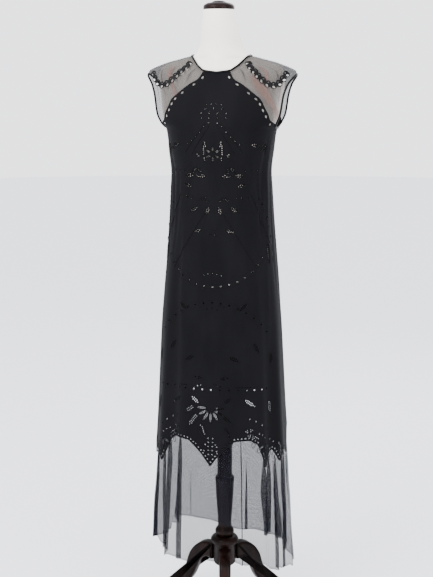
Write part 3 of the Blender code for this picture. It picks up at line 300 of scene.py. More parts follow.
# Leaves of pierced lace: the place of the stalk, the turn, the length and the width
Leaf = namedtuple("Leaf", "angle level turn length width mirrored", defaults=(True,))
PIERCED_LEAVES = [Leaf(*row) for row in (
    (8.6, 1.486, -88, 0.064, 0.014), (15.0, 1.437, 55, 0.02, 0.01), (8.5, 1.384, 2, 0.036, 0.014),
    (24.0, 1.385, 0, 0.032, 0.013), (42.0, 1.474, -14, 0.026, 0.013), (63.5, 1.476, -80, 0.032, 0.013),
    (18.0, 1.296, -30, 0.032, 0.013), (5.0, 1.3, -72, 0.03, 0.012), (27.0, 1.352, 22, 0.03, 0.011),
    (67.5, 1.19, -86, 0.062, 0.015), (13.0, 1.232, -15, 0.03, 0.011), (26.0, 1.0, 40, 0.038, 0.013),
    (40.0, 0.905, -60, 0.038, 0.012), (16.0, 0.868, -28, 0.038, 0.013), (64.0, 0.87, -92, 0.038, 0.012),
    (8.0, 0.802, 8, 0.032, 0.013), (18.5, 0.748, -140, 0.036, 0.013), (30.0, 0.742, -36, 0.046, 0.014),
    (60.0, 0.728, -84, 0.044, 0.014), (29.0, 0.646, 6, 0.036, 0.016), (36.5, 0.634, -38, 0.03, 0.016),
    (31.5, 0.634, -6, 0.024, 0.013), (48.0, 0.588, -84, 0.044, 0.015), (69.5, 0.598, -84, 0.044, 0.013),
    (-16.0, 0.719, 219, 0.03, 0.016, False), (-11.5, 0.7, 236, 0.052, 0.017, False),
    (-9.5, 0.668, -70, 0.044, 0.017, False), (9.5, 0.694, -36, 0.04, 0.014, False),
    (12.0, 0.66, -62, 0.04, 0.013, False),
)]

# Eyelets too small for the solids, which keep clear of all the others
LACE_RUNS = [Run(*row) for row in (
    (-2.0, 0.626, -1.5, 0.566, 0.0, 6, 0.0023), (2.0, 0.626, 1.5, 0.566, 0.0, 6, 0.0023),
    (5.6, 0.601, 6.3, 0.584, 0.0, 2, 0.0023), (-12.5, 0.779, -9.5, 0.783, 0.0, 2, 0.0022),
    (3.0, 0.786, 8.0, 0.78, 0.0, 3, 0.0023), (23.0, 0.779, 36.0, 0.776, 0.0, 6, 0.002),
    (-36.0, 0.776, -23.0, 0.779, 0.0, 6, 0.002), (-6.0, 1.584, 6.0, 1.584, 0.001, 4, 0.0021),
    (44.0, 0.636, 50.0, 0.622, 0.002, 3, 0.0022, True), (60.0, 0.61, 64.0, 0.6, 0.0, 2, 0.0022, True),
    (-9.0, 1.102, 9.0, 1.102, 0.006, 5, 0.002), (-5.0, 1.005, 5.0, 1.005, 0.004, 3, 0.002),
)]
BEAD_RUNS = [Run(*row) for row in (
    (7.0, 1.532, 33.0, 1.452, -0.004, 2, 0.0, True), (4.0, 1.525, 24.0, 1.447, -0.006, 2, 0.0, True),
    (45.0, 1.33, 72.0, 1.19, 0.014, 2, 0.0, True), (10.0, 1.28, 48.0, 1.12, 0.02, 2, 0.0, True),
)]
HEM_LOOPS = ((38, 0.612), (43, 0.594), (57, 0.568), (62, 0.577), (66, 0.559), (76, 0.564))
HEM_LOOP_SIZE = (0.017, 0.011)
STITCHED_LEVELS = (1.290, 1.281)
STITCHED_REACH = 84

# The small holes: inside the lace leaves, along the halter edge and along the hem
PINHOLE_STEP = 0.0056
PINHOLE_RADIUS = 0.00195
PINHOLE_WEB = 0.0009
PINHOLE_SIDES = 8
PINHOLE_REACH = PINHOLE_RADIUS + PINHOLE_WEB * 0.6
OUTER_ROW_LEAN = 0.0012
NARROWEST_HALF = 0.0022
EDGE_EYELETS = 8
EDGE_EYELET_START = 0.6
EDGE_TEARDROP = (0.0112, 0.0066)
EDGE_EYELET_INSET = 0.0085
HEM_EYELET_STEP = 0.0108
HEM_EYELET_INSET = 0.0062
HEM_EYELET_RADIUS = 0.0026
EYELET_SIDES = 12
EYELET_WEB = 0.0018
HEM_EYELET_SIDES = 10

# Threads: how far they lie outside the cloth's face, and their size
THREAD_SIDES = 5
STITCH_STRETCH = 2.6
RIM_LIFT = 0.0002
FINE_RIM_LIFT = 0.0001
FINE_RIM_SHARE = 0.65
BAR_LIFT = -0.0006
BAR_RADIUS = 0.00065
EDGE_CORD_LIFT = -0.0004
EDGE_CORD_RADIUS = 0.0009
SCALLOP_STEP = 0.00125
SCALLOP_DEPTH = 0.0008
HEM_LOOP_LIFT = -0.0009
HEM_LOOP_RADIUS = 0.0008
BAND_STEP = 0.006
BAND_STITCH = 0.0030
BAND_STITCH_RADIUS = 0.0004
BEAD_LIFT = 0.0008
BEAD_STITCH = 0.0042
BEAD_RADIUS = 0.0009
YOKE_SEAM_HALF = 0.0022
YOKE_SLIT_TURN = 0.02
YOKE_STITCH_LIFT = 0.0003
YOKE_STITCH = 0.0026
YOKE_STITCH_RADIUS = 0.00045
BINDING_STITCHES = (0.0012, 0.0043)
BINDING_STITCH_LIFT = 0.0020
BINDING_STITCH = 0.0024
BINDING_STITCH_RADIUS = 0.00032
TRIM_CELL = 0.0022
TRIM_CORD_RADIUS = 0.00055
HEM_THREAD_RADIUS = 0.0004

# Turned profiles as radius and height: the cap's above the neck, the others above the floor
PLATE_THICKNESS = 0.014
SOCKET_FLOOR = SLEEVE_TOP - 0.035
BEAD_HEIGHT = 0.544
HUB_TOP = 0.2375
COLUMN_TOP = TORSO_BOTTOM - SEAM - PLATE_THICKNESS - SEAM
CAP_PROFILE = (
    (0.0, 0.0240), (0.012, 0.0232), (0.018, 0.0212), (0.0205, 0.0190), (0.026, 0.0182), (0.034, 0.0170),
    (0.0355, 0.0155), (0.0400, 0.0135), (0.0435, 0.0100), (0.0445, 0.0050), (0.0440, 0.0), (0.0, 0.0))
COLUMN_PROFILE = (
    (0.0, COLUMN_TOP), (0.0350, COLUMN_TOP), (0.0350, COLUMN_TOP - 0.012),
    (0.0290, COLUMN_TOP - 0.020), (COLUMN_RADIUS, COLUMN_TOP - 0.026), (COLUMN_RADIUS, 0.800),
    (COLUMN_RADIUS, BEAD_HEIGHT + 0.018), (0.0235, BEAD_HEIGHT + 0.010), (0.0262, BEAD_HEIGHT + 0.007),
    (0.0270, BEAD_HEIGHT + 0.003), (0.0270, BEAD_HEIGHT - 0.003), (0.0262, BEAD_HEIGHT - 0.007),
    (0.0235, BEAD_HEIGHT - 0.010), (COLUMN_RADIUS, BEAD_HEIGHT - 0.018), (COLUMN_RADIUS, SOCKET_FLOOR + SEAM),
    (0.0, SOCKET_FLOOR + SEAM))
SLEEVE_PROFILE = (
    (0.0, SOCKET_FLOOR), (COLUMN_RADIUS + SEAM, SOCKET_FLOOR), (COLUMN_RADIUS + SEAM, SLEEVE_TOP),
    (0.0270, SLEEVE_TOP), (0.0290, 0.4315), (0.0298, 0.428), (0.0298, 0.421), (0.0290, 0.416),
    (0.0285, 0.408), (0.0280, 0.392), (0.0268, 0.370), (0.0252, 0.345), (0.0235, 0.320), (0.0220, 0.300),
    (0.0212, 0.285), (0.0210, 0.276), (0.0215, 0.268), (0.0255, 0.262), (0.0284, 0.258),
    (0.0294, 0.254), (0.0295, 0.248), (0.0280, 0.244), (0.0262, 0.241), (0.0240, HUB_TOP), (0.0, HUB_TOP))
HUB_PROFILE = (
    (0.0, HUB_TOP - SEAM), (0.030, HUB_TOP - SEAM), (0.036, 0.2350), (0.040, 0.2312), (0.0430, 0.2270),
    (0.0438, 0.2232), (0.0438, 0.2185), (0.0425, 0.2145), (0.0395, 0.2112), (HUB_RADIUS, 0.2082),
    (HUB_RADIUS, 0.150), (0.0335, 0.146), (0.030, 0.142), (0.020, 0.136), (0.008, 0.133), (0.0, 0.133))
LegPoint = namedtuple("LegPoint", "step reach height depth")
LEG_SPINE = [LegPoint(i, *row) for i, row in enumerate((
    (HUB_RADIUS + SEAM, 0.1780, 0.052), (0.060, 0.1790, 0.050), (0.084, 0.1680, 0.047),
    (0.104, 0.1440, 0.043), (0.116, 0.1130, 0.039), (0.128, 0.0820, 0.035), (0.148, 0.0540, 0.031),
    (0.178, 0.0330, 0.027), (0.208, 0.0215, 0.025), (0.230, 0.0150, 0.026)))]
SOLE_INNER = 0.196
SOLE_OUTER = 0.244
LEG_UNDERSIDE_END = 0.190
LEG_ROUND = 0.008
LEG_STEPS = 55
TOE = ((0.2445, 0.0245), (0.2458, 0.018), (0.2452, 0.006), (SOLE_OUTER, 0.0), (SOLE_INNER, 0.0))
BUTTON_PROFILE = (
    (0.0, 0.0049), (0.0012, 0.0048), (0.0024, 0.0044), (0.0034, 0.0037), (0.0039, 0.0031), (0.0043, 0.0029),
    (0.0045, 0.0023), (0.0043, 0.0016), (0.0036, 0.0010), (0.0024, 0.0003), (0.0, 0.0))
BUTTON_SIDES = 28
BUTTON_ERROR = 0.003
PLATE_PROFILE = (
    (PLATE_THICKNESS, 0.95), (0.0125, 0.972), (0.01, 0.985), (0.005, 0.99), (0.001, 0.99), (0.0, 0.985))
FORM_SIDES = 96
FORM_LEVELS = np.concatenate([np.linspace(TORSO_BOTTOM, 1.60, 44), np.linspace(1.61, NECK_SIDE, 26)])
WOOD_SHARP = 38.0

# The photograph's frame and camera
FRAME_HEIGHT = 577
FOCAL_PIXELS = 1130.0
SENSOR_WIDTH = 36.0
AXIS_PIXELS = 5.3

# The stage's lamps: name, place, size and power
LAMPS = (("key_light", (-1.2, -2.0, 3.0), 1.6, 100), ("fill_light", (1.9, -2.0, 2.5), 1.8, 45),
         ("back_light", (0.8, 2.6, 2.8), 2.0, 50))
LAMPS_AIM = Vector((0, 0, 1.55))
FLOOR_RADIUS = 14
FLOOR_SIDES = 64

# Weaves: scales of the wave textures, and the cells of the two sheer cloths in metres
CREPE_RATE = 900.0
KNIT_RATES = (420.0, 300.0)
YOKE_MESH_CELL = 0.0014
SKIRT_NET_CELL = 0.0020
THREAD_WAVE = 0.3183


class Curve:
    """One column of a table as a smooth curve of another column, which never overshoots its rows."""

    def __init__(self, rows, key, column):
        self.keys = np.array([getattr(row, key) for row in rows], float)
        self.values = np.array([getattr(row, column) for row in rows], float)
        steps = np.diff(self.values) / np.diff(self.keys)
        before, after = steps[:-1], steps[1:]
        same_way = before * after > 0
        total = np.where(same_way, before + after, 1.0)
        inner = np.where(same_way, 2 * before * after / total, 0.0)
        self.slopes = np.concatenate([steps[:1], inner, steps[-1:]])

    def __call__(self, key):
        key = np.clip(key, self.keys[0], self.keys[-1])
        i = np.clip(np.searchsorted(self.keys, key, side="right") - 1, 0, len(self.keys) - 2)
        span = self.keys[i + 1] - self.keys[i]
        t = (key - self.keys[i]) / span
        bends = t * (1 - t) ** 2 * self.slopes[i] - t * t * (1 - t) * self.slopes[i + 1]
        far = t * t * (3 - 2 * t)
        return (1 - far) * self.values[i] + far * self.values[i + 1] + span * bends


HEIGHT = Curve(SECTIONS, "level", "height")
HALF_WIDTH = Curve(SECTIONS, "level", "half_width")
FRONT_DEPTH = Curve(SECTIONS, "level", "front")
BACK_DEPTH = Curve(SECTIONS, "level", "back")
RIDGE = Curve(SECTIONS, "level", "ridge")
EASE_SIDE = Curve(EASES, "level", "side")
EASE_DEPTH = Curve(EASES, "level", "depth")
EASE_DROP = Curve(EASES, "level", "drop")
NET_HEM_LEVEL = Curve(NET_HEM, "angle", "level")


def eased(t):
    """Smooth step from 0 to 1."""
    t = np.clip(t, 0.0, 1.0)
    return t * t * (3 - 2 * t)


def wrapped(angle):
    """Angle brought between minus and plus half a turn."""
    return (angle + math.pi) % (2 * math.pi) - math.pi


def stacked(*values):
    """Points from their coordinates, each an array or one number for all."""
    return np.stack(np.broadcast_arrays(*values), axis=-1)


def turned(along, aside, turn):
    """Flat points at distances along a direction and to its left."""
    cosine, sine = math.cos(turn), math.sin(turn)
    return stacked(along * cosine - aside * sine, along * sine + aside * cosine)


def round_turns(sides):
    """Angles of even steps round a circle."""
    return np.linspace(0, 2 * math.pi, sides, endpoint=False)


def section_points(angle, level, ease_side=0.0, ease_depth=0.0):
    """Points of the smooth sections without folds, drawn in by the eases."""
    s = np.sin(angle)
    c = np.cos(angle)
    depth = np.where(c > 0, FRONT_DEPTH(level), BACK_DEPTH(level)) - ease_depth
    ridge = RIDGE(level)
    x = (HALF_WIDTH(level) - ease_side) * s
    share = ridge + (1 - ridge) * np.exp(-(x / NECK_SPREAD) ** 2)
    y = -np.copysign(np.abs(c) ** SECTION_SQUARENESS * depth * share, c)
    return stacked(x, y, HEIGHT(level))


def fold_depth(folds, angle, level):
    """Sum of the folds' outward displacement at places on the cloth."""
    total = np.zeros_like(angle)
    for fold in folds:
        share = wrapped(angle - math.radians(fold.angle)) / math.radians(fold.half_width)
        reach = eased((fold.top - level) / (fold.top - fold.bottom))
        total += np.where(np.abs(share) < 1, fold.depth * reach * np.cos(share * QUARTER) ** 2, 0.0)
    return total


def crease_share(crease, angle, level):
    """How strongly one crease is felt at places on the cloth, from 0 to 1."""
    middle = math.radians(crease.top_angle + crease.low_angle) / 2
    across = wrapped(angle - middle) * SPREAD
    half = math.radians(crease.low_angle - crease.top_angle) / 2 * SPREAD
    start = np.array((-half, crease.top_level))
    way = np.array((half, crease.low_level)) - start
    t = ((across - start[0]) * way[0] + (level - start[1]) * way[1]) / way.dot(way)
    away = np.hypot(across - start[0] - t * way[0], level - start[1] - t * way[1])
    waver = 1 + 0.25 * np.sin(t * 9 + crease.top_angle)
    share = np.clip(away / (crease.half_width * waver), 0, 1)
    ends = np.sin(np.clip(t, 0, 1) * math.pi) ** 0.8
    return np.where((t > 0) & (t < 1), np.cos(share * QUARTER) ** 2 * ends, 0.0)


def crease_depth(creases, angle, level):
    """Sum of the creases' outward displacement at places on the cloth."""
    return sum(crease.depth * crease_share(crease, angle, level) for crease in creases)


def folded_points(angle, level, folds, creases):
    """Points of the hanging cloth, with its folds and creases."""
    points = section_points(angle, level)
    reach = np.hypot(points[..., 0], points[..., 1])
    push = 1 + (fold_depth(folds, angle, level) + crease_depth(creases, angle, level)) / reach
    points[..., 0] *= push
    points[..., 1] *= push
    return points


def tangents(angle, level, folds=FOLDS, creases=()):
    """Directions along the angle and along the level, as changes for each unit of both."""
    ways = []
    for turn, rise in ((0.004, 0), (0, 0.0008)):
        after = folded_points(angle + turn, level + rise, folds, creases)
        before = folded_points(angle - turn, level - rise, folds, creases)
        ways.append((after - before) / (2 * (turn + rise)))
    return ways


def unit(vectors):
    """Vectors brought to length one."""
    return vectors / np.maximum(np.linalg.norm(vectors, axis=-1, keepdims=True), 1e-12)


def cloth_points(places, out=0.0, folds=FOLDS, creases=()):
    """Points at a distance outside the cloth's outer face, for places of angle and level."""
    angle, level = np.asarray(places, float).T
    round_way, up_way = tangents(angle, level, folds, creases)
    normal = unit(np.cross(round_way, up_way))
    return folded_points(angle, level, folds, creases) + normal * np.reshape(out, (-1, 1))


def shifted(places, ways):
    """Places reached from places on the cloth by short moves in space."""
    angle, level = np.asarray(places, float).T
    round_way, up_way = tangents(angle, level)
    rr = (round_way * round_way).sum(-1)
    ru = (round_way * up_way).sum(-1)
    uu = (up_way * up_way).sum(-1)
    wr = (ways * round_way).sum(-1)
    wu = (ways * up_way).sum(-1)
    det = rr * uu - ru * ru
    return stacked(angle + (wr * uu - wu * ru) / det, level + (wu * rr - wr * ru) / det)


def side_ways(places, closed=False):
    """Unit directions on the cloth to the left of a path, and along it."""
    points = cloth_points(places)
    if closed:
        along = unit(np.roll(points, -1, 0) - np.roll(points, 1, 0))
    else:
        along = unit(np.gradient(points, axis=0))
    angle, level = np.asarray(places, float).T
    round_way, up_way = tangents(angle, level)
    return unit(np.cross(unit(np.cross(round_way, up_way)), along)), along


def beside(places, distance, closed=False):
    """Path moved to its left along the cloth by a distance."""
    aside, _ = side_ways(places, closed)
    return shifted(places, aside * np.reshape(distance, (-1, 1)))


def marks_path(marks, steps, centre=0.0):
    """Smooth path through marks on the wearer's left; centre is 0 for the front and pi for the back."""
    rows = [Step(i, *mark) for i, mark in enumerate(marks)]
    t = np.linspace(0, len(rows) - 1, (len(rows) - 1) * steps + 1)
    angle = np.radians(Curve(rows, "t", "angle")(t))
    return stacked(centre + (angle if centre == 0.0 else -angle), Curve(rows, "t", "level")(t))


def mirrored(path, centre=0.0):
    """The same path on the other side of a centre line, run the other way."""
    path = np.asarray(path)[::-1]
    return stacked(2 * centre - path[:, 0], path[:, 1])


def joined(*paths):
    """One closed outline from paths that follow each other, with shared ends kept once."""
    outline = []
    for path in paths:
        for place in path:
            if not outline or math.dist(outline[-1], place) > 1e-6:
                outline.append(tuple(place))
    if math.dist(outline[0], outline[-1]) < 1e-6:
        outline.pop()
    return np.array(outline)


def facing_out(outline):
    """Outline turned to run anticlockwise in the pattern plane."""
    after = np.roll(outline, -1, 0)
    area = (outline[:, 0] * after[:, 1] - after[:, 0] * outline[:, 1]).sum()
    return outline if area > 0 else outline[::-1]


def inside(points, loop):
    """Which pattern points lie inside a loop."""
    x, y = points.T
    odd = np.zeros(len(points), bool)
    for (ax, ay), (bx, by) in zip(loop, np.roll(loop, -1, 0)):
        if ay != by:
            odd ^= ((ay > y) != (by > y)) & (x < ax + (bx - ax) * (y - ay) / (by - ay))
    return odd


def within(points, loops):
    """Which pattern points lie inside the first loop and outside all the others."""
    kept = inside(points, loops[0])
    for loop in loops[1:]:
        near = np.nonzero(((points >= loop.min(0)) & (points <= loop.max(0))).all(1))[0]
        kept[near] &= ~inside(points[near], loop)
    return kept


def evenly(path, step, closed=False):
    """Path of places resampled at even distances along the cloth."""
    path = np.asarray(path, float)
    if closed:
        path = np.vstack([path, path[:1]])
    points = cloth_points(path)
    run = np.concatenate([[0], np.cumsum(np.linalg.norm(np.diff(points, axis=0), axis=1))])
    count = max(2, round(run[-1] / step) + 1)
    at = np.linspace(0, run[-1], count)
    even = stacked(np.interp(at, run, path[:, 0]), np.interp(at, run, path[:, 1]))
    return even[:-1] if closed else even


def flat_pattern(outline, holes, cell):
    """Flat triangulated pattern with its holes left open, as places and triangles."""
    loops = [np.asarray(loop) * PATTERN for loop in [outline, *holes]]
    corners = np.concatenate(loops)
    edges = []
    start = 0
    for loop in loops:
        edges += [(start + i, start + (i + 1) % len(loop)) for i in range(len(loop))]
        start += len(loop)
    low, high = loops[0].min(0), loops[0].max(0)
    grid = stacked(*np.meshgrid(np.arange(low[0], high[0], cell), np.arange(low[1], high[1], cell)))
    grid[1::2, :, 0] += cell / 2
    grid = grid.reshape(-1, 2)
    tree = KDTree(len(corners))
    for i, (x, y) in enumerate(corners):
        tree.insert((x, y, 0), i)
    tree.balance()
    clear = GRID_CLEARANCE * cell
    grid = np.array([place for place in grid[within(grid, loops)] if tree.find((*place, 0))[2] > clear])
    spots = [Vector(place) for place in np.concatenate([corners, grid.reshape(-1, 2)])]
    flat, _, triangles, _, _, _ = delaunay_2d_cdt(spots, edges, [], 1, 1e-7)
    flat = np.array(flat)
    triangles = np.array(triangles)
    triangles = triangles[within(flat[triangles].mean(1), loops)]
    used, triangles = np.unique(triangles, return_inverse=True)
    return flat[used] / PATTERN, triangles.reshape(-1, 3)


def rim_quads(triangles, count):
    """Walls between the two faces of a sheet, along its open edges."""
    edges = np.concatenate([triangles[:, [0, 1]], triangles[:, [1, 2]], triangles[:, [2, 0]]])
    _, first, uses = np.unique(np.sort(edges, axis=1), axis=0, return_index=True, return_counts=True)
    rim = edges[first[uses == 1]]
    return [(a + count, b + count, b, a) for a, b in rim.tolist()]


def tube_faces(rings, sides, closed=False):
    """Faces between rings of equal counts, with end caps where the rings don't come round again."""
    faces = []
    for ring in range(rings if closed else rings - 1):
        here, there = ring * sides, (ring + 1) % rings * sides
        faces += [(here + i, here + (i + 1) % sides, there + (i + 1) % sides, there + i)
                  for i in range(sides)]
    if not closed:
        faces += [tuple(range(sides))[::-1], tuple(range((rings - 1) * sides, rings * sides))]
    return faces


def loop_points(mesh):
    """Index of the point at every face corner of a mesh."""
    points = np.zeros(len(mesh.loops), np.int64)
    mesh.loops.foreach_get("vertex_index", points)
    return points


def new_mesh(verts, faces, places=None, sharp=50.0):
    """Smooth mesh with its places on the cloth kept as a UV map in metres."""
    mesh = bpy.data.meshes.new("piece")
    mesh.from_pydata(np.asarray(verts).tolist(), [], faces)
    mesh.validate()
    mesh.shade_smooth()
    if sharp:
        mesh.set_sharp_from_angle(angle=math.radians(sharp))
    if places is not None:
        layer = mesh.uv_layers.new(name="cloth")
        layer.data.foreach_set("uv", np.asarray(places, np.float32)[loop_points(mesh)].ravel())
    return mesh


def piece(name, mesh, finish, slot, *replaced):
    """Object of one piece that rides on the stand's one body and stands for its nodes."""
    mesh.name = name
    thing = bpy.data.objects.new(name, mesh)
    bpy.context.scene.collection.objects.link(thing)
    material = finish_named(finish)
    if material.name not in mesh.materials:
        mesh.materials.append(material)
    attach(thing, "root")
    if replaced:
        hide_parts(*replaced)
    return thing


def moved(points):
    """Points of the figure in the frame's place."""
    return np.asarray(points) + np.array(ORIGIN)


def shell(outline, holes, cell, wall, lift=0.0, creases=(), seam=SEAM / 2):
    """Sheet of cloth cut flat and laid on the figure, as a closed thin shell, or one face where wall is 0."""
    outline = beside(facing_out(outline), seam, closed=True)
    flat, triangles = flat_pattern(outline, holes, cell)
    count = len(flat)
    verts = cloth_points(flat, lift, FOLDS, creases)
    faces = triangles.tolist()
    places = flat * PATTERN
    if wall:
        verts = np.concatenate([verts, cloth_points(flat, lift - wall, FOLDS, creases)])
        faces += (triangles[:, ::-1] + count).tolist() + rim_quads(triangles, count)
        places = np.concatenate([places, places])
    return new_mesh(moved(verts), faces, places)


def cut_shape(angle, level, points):
    """Hole in the pattern from points in metres on the cloth."""
    round_way, up_way = tangents(np.array([angle]), np.array([level]))
    across = np.linalg.norm(round_way[0])
    up = np.linalg.norm(up_way[0])
    points = np.asarray(points)
    return stacked(angle + points[:, 0] / across, level + points[:, 1] / up)


def eyelet(angle, level, radius, sides=EYELET_SIDES):
    """Round eyelet."""
    turns = round_turns(sides)
    return cut_shape(angle, level, stacked(np.cos(turns), np.sin(turns)) * radius)


def leaf_half(t, width):
    """Half the width of a pointed leaf at shares of its length."""
    return width / 2 * np.sin(np.pi * t ** 0.85) ** 0.9


def leaf_points(turn, start, length, width, steps=6):
    """Outline of a pointed leaf that starts at a distance from its centre."""
    t = np.linspace(0, 1, steps + 1)
    half = leaf_half(t, width)
    half[0] = half[-1] = 0
    along = np.concatenate([t, t[-2:0:-1]]) * length + start
    return turned(along, np.concatenate([half, -half[-2:0:-1]]), turn)


def sides_of(row):
    """Sides of the centre line that a table's row is made for."""
    return (1, -1) if row.mirrored else (1,)


def run_places(run, centre, side):
    """Places of the eyelets of one run."""
    t = np.linspace(0, 1, run.count)
    degrees = run.start_angle + (run.end_angle - run.start_angle) * t
    level = run.start_level + (run.end_level - run.start_level) * t + run.bulge * 4 * t * (1 - t)
    turn = side if centre == 0.0 else -side
    return stacked(centre + turn * np.radians(degrees), level)


def run_holes(runs, centre=0.0):
    """Eyelets of a table of runs."""
    return [eyelet(angle, level, run.radius) for run in runs for side in sides_of(run)
            for angle, level in run_places(run, centre, side)]


def spray_cuts(sprays):
    """Leaf-shaped cuts of a table of sprays, with the middle line of each."""
    cuts = []
    for spray in sprays:
        for side in sides_of(spray):
            angle = side * math.radians(spray.angle)
            for i in range(spray.count):
                turn = spray.first_turn + (spray.last_turn - spray.first_turn) * i / (spray.count - 1)
                turn = math.radians(turn if side > 0 else 180 - turn)
                leaf = leaf_points(turn, spray.start, spray.length, spray.width)
                vein = turned(np.linspace(spray.start, spray.start + spray.length, 7), 0, turn)
                cuts.append((cut_shape(angle, spray.level, leaf), cut_shape(angle, spray.level, vein)))
    return cuts


def pinhole_spots(row):
    """Distances along and beside a lace leaf's vein where its holes go, in up to four rows."""
    spots = []
    for i in range(1, int(row.length / PINHOLE_STEP)):
        along = i * PINHOLE_STEP
        half = leaf_half(along / row.length, row.width)
        for line in (0.5, 1.5):
            aside = line * PINHOLE_STEP
            if aside + PINHOLE_REACH < half:
                lean = along + (OUTER_ROW_LEAN if line > 1 else 0)
                spots += [(lean, aside), (lean, -aside)]
        if NARROWEST_HALF < half < 0.5 * PINHOLE_STEP + PINHOLE_REACH:
            spots.append((along, 0))
    return np.array(spots)


def pierced_leaves(leaves):
    """Outlines of the lace leaves and the holes inside them."""
    outlines = []
    pinholes = []
    for row in leaves:
        for side in sides_of(row):
            angle = side * math.radians(row.angle)
            turn = math.radians(row.turn if side > 0 else 180 - row.turn)
            outlines.append(cut_shape(angle, row.level, leaf_points(turn, 0, row.length, row.width, 8)))
            for spot in cut_shape(angle, row.level, turned(*pinhole_spots(row).T, turn)):
                pinholes.append(eyelet(*spot, PINHOLE_RADIUS, PINHOLE_SIDES))
    return outlines, pinholes


def halter_holes():
    """Teardrop-shaped cuts that follow the halter edge of the front."""
    path = marks_path(HALTER, HEM_STEPS)
    holes = []
    for side in (1, -1):
        edge = path if side > 0 else path * np.array((-1, 1))
        aside, along = side_ways(edge)
        for i in range(EDGE_EYELETS):
            share = (i + EDGE_EYELET_START) / (EDGE_EYELETS - 1 + 2 * EDGE_EYELET_START)
            at = 1 + round(share * (len(edge) - 3))
            length, width = EDGE_TEARDROP
            drop = leaf_points(0.0, -length / 2, length, width)
            ways = along[at] * side * drop[:, :1] + aside[at] * -side * (drop[:, 1:] + EDGE_EYELET_INSET)
            holes.append(shifted(np.repeat(edge[at:at + 1], len(drop), 0), ways))
    return holes


def apart(candidates, taken, gap):
    """Holes that keep a gap from those already taken and from each other."""

    def middle_and_reach(hole):
        middle = hole.mean(0)
        return middle * PATTERN, np.abs((hole - middle) * PATTERN).max()

    spots = [middle_and_reach(hole) for hole in taken]
    kept = []
    for hole in candidates:
        middle, reach = middle_and_reach(hole)
        if all(math.dist(middle, other) > reach + far + gap for other, far in spots):
            kept.append(hole)
            spots.append((middle, reach))
    return kept


def hem_holes(hem):
    """Small eyelets that follow a hem."""
    spots = evenly(beside(evenly(hem, CLOTH_STEP), HEM_EYELET_INSET), HEM_EYELET_STEP)
    return [eyelet(angle, level, HEM_EYELET_RADIUS, HEM_EYELET_SIDES) for angle, level in spots[1:-1]]


class Value:
    """An output of a shader node that Python expressions can work on."""

    def __init__(self, finish, socket):
        self.finish = finish
        self.socket = socket

    def maths(self, operation, other):
        return self.finish.node("ShaderNodeMath", {0: self, 1: other}, operation=operation)

    def __add__(self, other):
        return self.maths("ADD", other)

    __radd__ = __add__

    def __mul__(self, other):
        return self.maths("MULTIPLY", other)

    __rmul__ = __mul__

    def __sub__(self, other):
        return self.maths("SUBTRACT", other)

    def __rsub__(self, other):
        return self.finish.node("ShaderNodeMath", {0: other, 1: self}, operation="SUBTRACT")

    def above(self, edge, soft):
        """0 below an edge and 1 above it, over a soft step."""
        return self.finish.node("ShaderNodeMapRange", {
            "Value": self, "From Min": edge - soft, "From Max": edge + soft}, interpolation_type="SMOOTHSTEP")


class Finish:
    """One material, built from its nodes."""

    def __init__(self, name, colour, roughness, **constants):
        self.material = bpy.data.materials.new(name)
        self.material.use_nodes = True
        self.tree = self.material.node_tree
        self.shader = self.tree.nodes["Principled BSDF"]
        self.set("Base Color", (*colour, 1.0))
        self.set("Roughness", roughness)
        for key, value in constants.items():
            self.set(key.replace("_", " "), value)

    def set(self, name, value):
        """Constant or link of one socket of the main shader."""
        self.put(self.shader.inputs[name], value)

    def put(self, socket, value):
        if isinstance(value, Value):
            self.tree.links.new(value.socket, socket)
        else:
            socket.default_value = value

    def node(self, kind, values, output=0, **settings):
        """One output of a new node with its settings and the values or links of its sockets."""
        node = self.tree.nodes.new(kind)
        for key, value in settings.items():
            setattr(node, key, value)
        for key, value in values.items():
            self.put(node.inputs[key], value)
        return Value(self, node.outputs[output])

    def cloth_place(self):
        """Vector of the place on the cloth, in metres."""
        return self.node("ShaderNodeUVMap", {}, uv_map="cloth")

    def object_place(self):
        return self.node("ShaderNodeTexCoord", {}, "Object")

    def kept_value(self, name):
        """Value that the mesh keeps on its points."""
        return self.node("ShaderNodeAttribute", {}, "Fac", attribute_name=name)

    def scaled(self, place, scale, turn=0.0):
        return self.node("ShaderNodeMapping", {"Vector": place, "Scale": scale, "Rotation": (0, 0, turn)})

    def noise(self, place, scale, detail, stretch=(1, 1, 1)):
        return self.node("ShaderNodeTexNoise", {
            "Vector": self.scaled(place, stretch), "Scale": scale, "Detail": detail})

    def wave(self, place, scale, direction="X", distortion=0.0):
        return self.node("ShaderNodeTexWave", {"Vector": place, "Scale": scale, "Distortion": distortion}, 1,
                         bands_direction=direction)

    def mixed(self, share, first, second):
        """Colour between two colours."""
        values = {0: share, 6: (*first, 1.0), 7: (*second, 1.0)}
        return self.node("ShaderNodeMix", values, 2, data_type="RGBA")

    def bump(self, height, strength, distance):
        self.set("Normal", self.node("ShaderNodeBump", {
            "Height": height, "Strength": strength, "Distance": distance}))


def crepe_finish(colour):
    """Black crepe: a fine pebbled weave with a faint sheen."""
    finish = Finish("black_crepe", colour, 0.55, Sheen_Weight=0.006, Sheen_Roughness=0.4,
                    Specular_IOR_Level=0.05)
    place = finish.cloth_place()
    weave = finish.wave(place, CREPE_RATE) * finish.wave(place, CREPE_RATE, "Y")
    pebble = finish.noise(place, 1400.0, detail=2.0)
    drift = finish.noise(place, 14.0, detail=3.0, stretch=(1.0, 0.35, 1.0))
    finish.set("Base Color", finish.mixed(drift.above(0.5, 0.25), colour, [c * 1.7 for c in colour]))
    finish.set("Roughness", 0.62 + drift * 0.16)
    finish.bump(weave * 0.4 + pebble, strength=0.25, distance=0.0004)
    return finish.material


